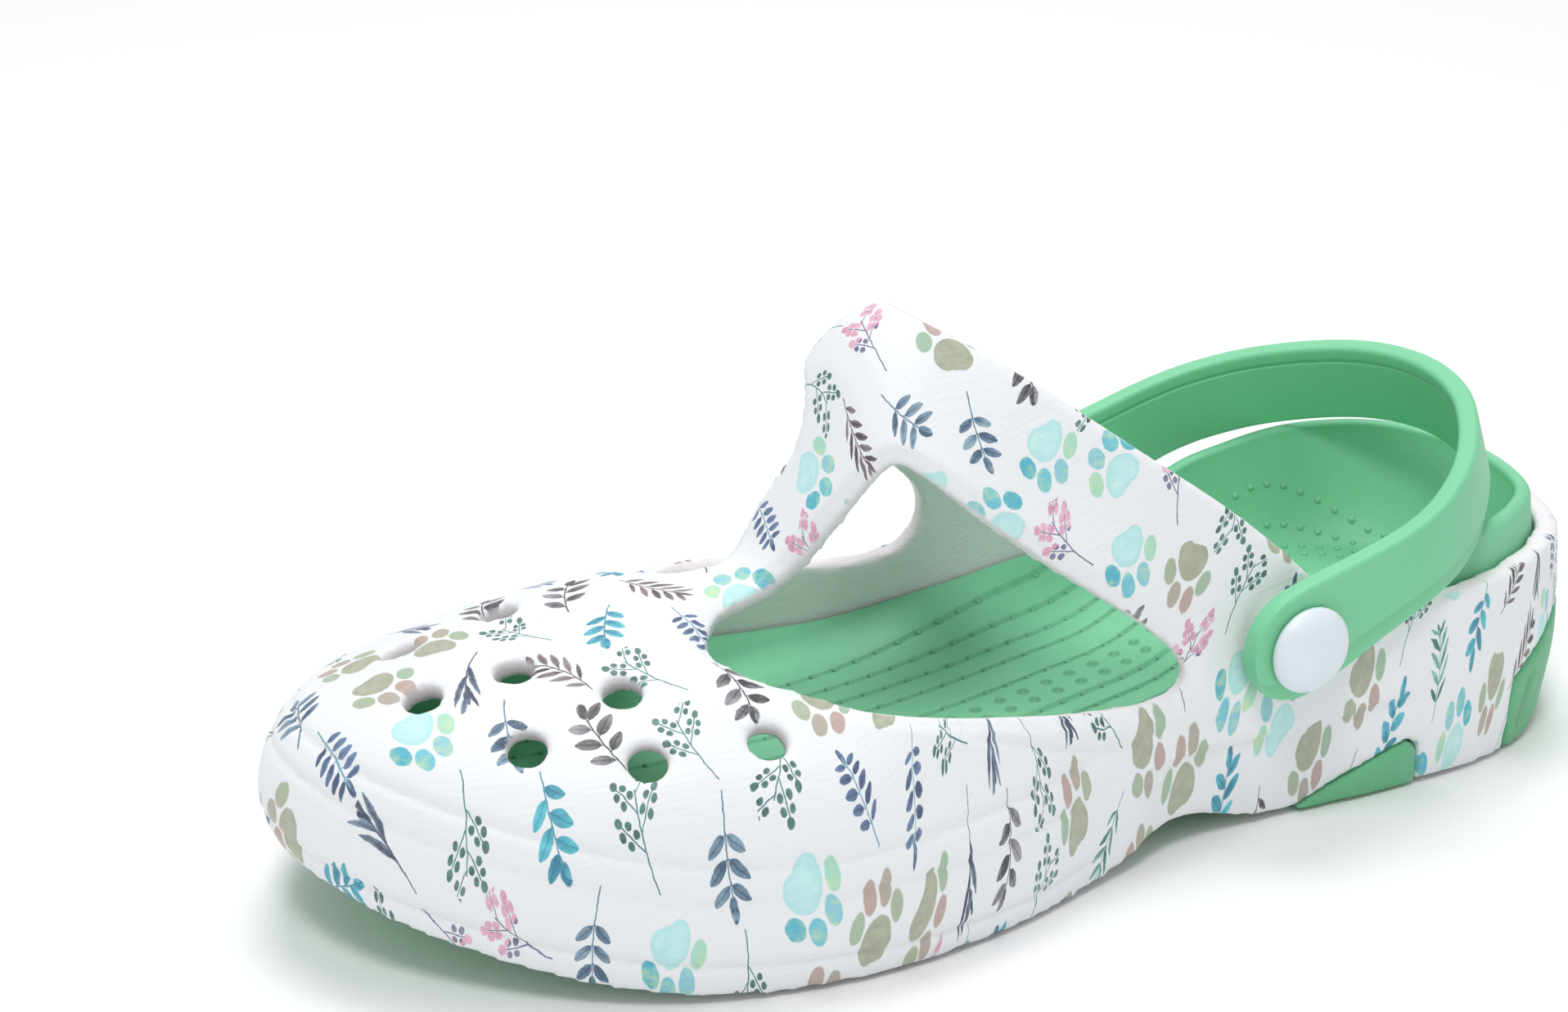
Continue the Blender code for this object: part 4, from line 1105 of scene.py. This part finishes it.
def sprig(t, x, y, choice, seed, wash):
    """Leaf sprig: its cover and its colour. A ramp holds 0 to 1, so sizes are scaled down and back."""
    size = t.split(t.table(choice, [(a / 10, b / 10, c / 100) for (a, b, c), *_ in SPRIGS]))
    habit = t.split(t.table(choice, [(a / 10, b, c / 2 + 0.5) for _, (a, b, c), *_ in SPRIGS]))
    form = t.split(t.table(choice, [row[2] for row in SPRIGS]))
    base, tip, stem = (t.table(choice, [row[k] for row in SPRIGS]) for k in (3, 4, 5))
    bend = (habit[2] - 0.5) * 2
    x = x - bend * (y * y) * STEM_CURVE + bend * 0.8
    along, across, anchor = fronds(x, y, size[2] * (100 * math.pi / 180), habit[0] * 10, habit[1])
    taper = (1.0 - (anchor * anchor) / LEAF_TAPER).max(0.05).sqrt()
    reach = along / (size[0] * 10 * taper)
    s = (reach - form[1]) / (1.0 - form[1])
    swell = (s * (1.0 - s) * 4).max(0.0)
    swell = (swell + (swell.sqrt() - swell) * form[0]) * (1.12 - s * 0.24)
    half = size[1] * 10 * taper * swell
    grows = (anchor > LEAVES_FROM) * (anchor < LEAVES_TO)
    across = abs(across + s * s * 0.35)
    leaves = (half - across).soft(0.14) * grows * (half > 0.05)
    shoots = (0.11 - across).soft(0.1) * grows * (reach < 0.5) * (reach > 0.0)
    top = ellipse(x, y - STALK_TOP, form[2], 1.7).soft(0.2)
    stalk = (0.14 - abs(x)).soft(0.1) * (y > STALK_FOOT) * (y < STALK_TOP)
    luck, _ = t.random(t.combine(anchor, x > 0.0, seed * 40))
    vein = (0.16 - across).soft(0.14) * 0.35
    shade = (s * 0.55 + (wash - 0.5) * 0.7 + (luck - 0.5) * 0.9 + 0.2 - vein).clamp()
    colour = t.mix(stalk.max(shoots) * (1.0 - leaves), t.mix(shade, base, tip), stem)
    return leaves.max(top).max(stalk).max(shoots), colour


def paw(t, x, y, olive, wash):
    """Paw print: heart-shaped pad and four toes."""
    side = abs(x)

    def oval(middle_x, middle_y, half_x, half_y, taper=0.0):
        return ellipse(side - middle_x, y - middle_y, half_x - y * taper if taper else half_x, half_y)

    pad = oval(*PAW_HEEL, PAW_TAPER).max(oval(*PAW_LOBE))
    pad_cover = (pad * 2.4).soft(0.2)
    toe_x, toe_y, *halves = PAW_OUTER_TOE
    out, ahead, (c, s) = side - toe_x, y - toe_y, TOE_SPLAY
    outer = ellipse(out * c + ahead * s, ahead * c - out * s, *halves)
    inner = oval(*PAW_INNER_TOE)
    toe_cover = (outer.max(inner) * 1.5).soft(0.2)
    number = (x > 0.0) * 0.5 + (inner > outer) * 0.25 + 0.1
    toes = t.mix(olive, t.table(number, PAW_TOES["aqua"]), t.table(number, PAW_TOES["olive"]))
    aqua, green = (t.mix(wash, *PAW_PADS[k]) for k in (0, 1))
    edge = (1.0 - pad * 2.2).clamp()
    pads = t.mix(edge * 0.4 * wash, t.mix(olive, aqua, green), t.mix(olive, *PAW_PADS[2]))
    blush = (wash * 2.2 - 0.95).clamp()
    toes = t.mix(blush * 0.45, toes, t.mix(olive, *PAW_BLUSH))
    return pad_cover.max(toe_cover), t.mix(toe_cover * (1.0 - pad_cover), pads, toes)


def berry_twig(t, x, y, blossom, wash):
    """Branching twig with small leaves in pairs, or with pink blossom on top."""
    x = x + y * y * TWIG_CURVE
    along, across, anchor = fronds(x, y, x.constant(TWIG_ANGLE), x.constant(TWIG_SPACING), 1.0)
    across = abs(across)
    grows = (anchor > SHOOTS_FROM) * (anchor < SHOOTS_TO)
    bloom = (y > BLOOM_FROM) * blossom
    step = along.mod(BERRY_STEP) - BERRY_STEP / 2
    pair = (0.52 + bloom * 0.16 - length(step * 0.78, across - 0.80)).soft(0.12)
    pair = pair * (along < 5.4) * (along > 1.6)
    end = (0.62 + bloom * 0.12 - length((along - SHOOT_LONG) * 0.75, across)).soft(0.12)
    leaves = pair.max(end) * grows
    branch = (0.11 - across).soft(0.09) * (along < 5.6) * grows
    stalk = (0.13 - abs(x)).soft(0.1) * (y > STALK_FOOT) * (y < TWIG_TOP)
    leaf = t.mix(blossom, *(t.mix(wash, *shades) for shades in BERRIES))
    colour = t.mix(bloom, leaf, t.mix(wash, *BLOSSOM))
    colour = t.mix(branch.max(stalk) * (1.0 - leaves), colour, t.mix(blossom, *BERRY_STALK))
    return leaves.max(branch).max(stalk), colour


def print_layer(t):
    """Cover and colour of the watercolour print at a point of the wall."""
    place = t.attribute("print_place")
    wobble = t.new("ShaderNodeTexNoise")
    wobble.inputs["Scale"].default_value = 0.45
    t.link(place, wobble.inputs["Vector"])
    shifted = t.new("ShaderNodeVectorMath", operation="MULTIPLY_ADD")
    t.link(wobble.outputs["Color"], shifted.inputs[0])
    shifted.inputs[1].default_value = (0.5, 0.5, 0)
    t.link(place, shifted.inputs[2])
    x, y, first, second = motif_cells(t, shifted.outputs[0])
    wash = ((t.noise(place, 0.35, 3.0, 0.6) - 0.5) * 2.4 + 0.5).clamp()
    second_half = second > 0.5
    paw_cover, paw_colour = paw(t, x, y, second_half, wash)
    sprig_cover, sprig_colour = sprig(t, x, y, second, first, wash)
    twig_cover, twig_colour = berry_twig(t, x, y, second_half, wash)
    is_paw, is_twig = first < PAW_SHARE, first > TWIG_FROM
    cover = paw_cover + (sprig_cover - paw_cover) * (1.0 - is_paw)
    cover = cover + (twig_cover - cover) * is_twig
    colour = t.mix(is_twig, t.mix(is_paw, sprig_colour, paw_colour), twig_colour)
    grain = t.noise(place, 2.6, 4.0, 0.7)
    return cover * (0.82 + grain * 0.24).clamp(), colour


def printed_foam():
    """White foam with the print outside and a weave inside."""
    t = Tree("printed_foam")
    cover, colour = print_layer(t)
    outer = t.field(t.attribute("outer_face", "Fac"))
    place = t.object_place()
    u, v, along = t.split(t.attribute("print_place"))
    body = t.mix(t.noise(place, 0.05, 3.0), OFF_WHITE, WHITE)
    weave = t.noise(t.combine(u * 0.5, v * 0.5, along * 2.2), 1.0, 2.0, 0.7)
    body = t.mix(outer, t.mix(weave * 0.5 + 0.25, *INNER_WHITE), body)
    t.set(Base_Color=t.mix(cover * outer, body, colour))
    ribs = (along * (2 * math.pi / RIB_PITCH)).sin() * 0.5 + 0.5
    streak = t.noise(t.combine(u * 0.12, v * 0.12, along * 0.9), 1.0, 3.0, 0.6)
    fine = t.noise(place, 1.6, 3.0, 0.65)
    height = ribs * 0.12 * outer + streak * 0.9 + fine * 0.55 + weave * (1.0 - outer) * 1.2
    t.set(Normal=t.bump(height, 0.00022, 0.55), Roughness=0.42 + fine * 0.22 - cover * outer * 0.06,
          Specular_IOR_Level=0.42)
    t.set(Subsurface_Weight=0.12, Subsurface_Scale=0.004, Subsurface_Radius=(1.0, 0.95, 0.9))
    return t.material


def green_foam(name, greens, rough, bump=0.5, printed=False):
    """Green foam, light and dark in clouds: its tree, its colour and its fine relief."""
    t = Tree(name)
    light, dark = greens
    place = t.object_place()
    cloud = t.noise(place, 0.045, 3.0)
    fine = t.noise(place, 1.9, 4.0, 0.7)
    speck = (t.noise(place, 3.4, 2.0) * 6 - 3.9).clamp()
    body = t.mix(speck * 0.12, t.mix((cloud * 1.4 - 0.2).clamp(), dark, light), SPECK_GREEN)
    if printed:
        cover, colour = print_layer(t)
        patch = (t.noise(place, 0.06, 1.0) * 5 - 2.2).clamp() * 0.6
        shown = cover * t.field(t.attribute("outer_face", "Fac")) * patch
        body = t.mix(shown, body, t.mix(0.55, colour, dark))
    height = fine + cloud * 0.6
    t.set(Base_Color=body, Normal=t.bump(height, RELIEF, bump), Roughness=rough + (fine - 0.5) * 0.25,
          Specular_IOR_Level=0.45)
    t.set(Subsurface_Weight=0.10, Subsurface_Scale=0.004, Subsurface_Radius=(0.6, 1.0, 0.7))
    return t, body, height


def footbed_foam():
    """Green foam with painted shade: darker in the lines, in the double row of pits, in the heel's slanting
    lines and round the nubs.
    """
    t, body, height = green_foam("footbed_foam", FOOTBED_GREEN, 0.5)
    number, spread, bend = t.split(t.attribute("relief_place"))
    x, y, _ = t.split(t.object_place())
    front, end = ((y - FIRST_NUB) / 12).clamp(), ((LINES_END - y) / 6).clamp()
    fore = front * end * (number > -0.5) * (number < len(FOOTBED_LINES) - 0.5)
    across = off(number, 1.0) * spread
    groove = (1.0 - abs(across) / 0.7).clamp() * fore
    # painted shade round the foot of each nub
    near = ellipse(across, off(y - FIRST_NUB, NUB_PITCH), 1.5, 1.5).clamp() * fore
    pits = x.constant(0.0)
    for dots in FOOTBED_DOTS:
        pits = pits.max((1.3 - length(bend - dots, off(y, PIT_PITCH) / 1.1)).clamp())
    pits = pits * ((y + 70) / 12).clamp() * end
    from_centre = length(x - HEEL_CENTRE[0], y - HEEL_CENTRE[1])
    slant = (1.0 - abs(off(x + y * SLANT_LEAN, SLANT_PITCH)) / 0.9).clamp()
    slant = slant * ((y - (HEEL_FROM - 2)) / 6).clamp() * ((SLANT_R - from_centre) / 2).clamp()
    # painted shade: darkening in the grooves, pits and slanting lines and round the nubs' feet
    painted_shade = (groove * 0.38 + near * 0.4 + pits * 0.8 + slant * 0.4).clamp()
    t.set(Base_Color=t.mix(painted_shade * 0.36, body, GROOVE_SHADE_GREEN))
    relief = groove * -0.4 - pits * 0.8 - slant * 0.3
    t.set(Normal=t.bump(relief, 0.0010, 1.0, t.bump(height, RELIEF, 0.5)))
    return t.material


def rivet_plastic():
    t = Tree("rivet_plastic")
    place = t.object_place()
    fine = t.noise(place, 1.3, 3.0)
    t.set(Base_Color=t.mix(t.noise(place, 0.2), *RIVET_WHITE), Roughness=0.30 + fine * 0.14,
          Normal=t.bump(fine, 0.00008, 0.4), Subsurface_Weight=0.08, Subsurface_Scale=0.003)
    return t.material


# ---- the stage ----
def floor_and_light():
    bpy.ops.mesh.primitive_plane_add(size=FLOOR_SIZE, location=(0, 0, -FLOOR_DROP))
    floor = bpy.context.object
    floor.name = "floor"
    t = Tree("pale_floor")
    t.set(Base_Color=(FLOOR_GREY, FLOOR_GREY, FLOOR_GREY, 1), Roughness=0.9, Specular_IOR_Level=0.1)
    floor.data.materials.append(t.material)
    world = bpy.data.worlds.new("studio")
    bpy.context.scene.world = world
    world.use_nodes = True
    sky = world.node_tree.nodes["Background"]
    sky.inputs["Color"].default_value = SKY
    sky.inputs["Strength"].default_value = SKY_STRENGTH
    for name, (place, size, power) in LIGHTS.items():
        light = bpy.data.lights.new(name, "AREA")
        light.size, light.energy = size, power
        lamp = bpy.data.objects.new(name, light)
        bpy.context.scene.collection.objects.link(lamp)
        lamp.location = place
        lamp.rotation_euler = (Vector(LIT_POINT) - Vector(place)).to_track_quat("-Z", "Y").to_euler()


def camera():
    """The view from the outer side and in front, a little above."""
    back = Vector((math.sin(AZIMUTH) * math.cos(ELEVATION), -math.cos(AZIMUTH) * math.cos(ELEVATION),
                   math.sin(ELEVATION)))
    level = Vector((math.cos(AZIMUTH), math.sin(AZIMUTH), 0))
    up = back.cross(level)
    right = level * math.cos(ROLL) + up * math.sin(ROLL)
    up = up * math.cos(ROLL) - level * math.sin(ROLL)
    data = bpy.data.cameras.new("camera")
    data.sensor_width, data.lens = SENSOR, SENSOR * FOCAL
    data.clip_start, data.clip_end = 0.01, 20
    cam = bpy.data.objects.new("camera", data)
    bpy.context.scene.collection.objects.link(cam)
    to_centre = up * AIM_DOWN - right * AIM_RIGHT
    cam.location = Vector(AIM) + (back + to_centre / FOCAL) * DISTANCE
    cam.rotation_euler = Matrix((right, up, back)).transposed().to_euler()
    bpy.context.scene.camera = cam


def place_piece(piece, body, slot, material, *nodes):
    """Gives a visual piece its material and the body it rides on, and hides the CAD nodes it replaces; slot
    is not used.
    """
    piece.data.materials.clear()
    piece.data.materials.append(material)
    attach(piece, body)
    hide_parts(*nodes)


def main():
    bpy.context.scene.view_settings.view_transform = "Standard"
    camera()
    floor_and_light()
    place_piece(build_upper(), "shoe", "printed_foam", printed_foam(), "upper_shell")
    sole, *_ = green_foam("sole_foam", SOLE_GREEN, 0.5, printed=True)
    band, *_ = green_foam("strap_foam", STRAP_GREEN, 0.42, 0.3)
    place_piece(build_sole(), "shoe", "sole_foam", sole.material, "outsole")
    place_piece(build_footbed(), "shoe", "footbed_foam", footbed_foam(), "footbed")
    place_piece(build_strap(), "strap", "strap_foam", band.material, "heel_strap")
    plastic = rivet_plastic()
    for label, side in (("left", 1), ("right", -1)):
        stud, clasp = build_rivet(label, side)
        place_piece(stud, "shoe", "rivet_plastic", plastic, f"rivet_stud_{label}")
        place_piece(clasp, "shoe", "rivet_plastic", plastic, f"rivet_clasp_{label}")


main()
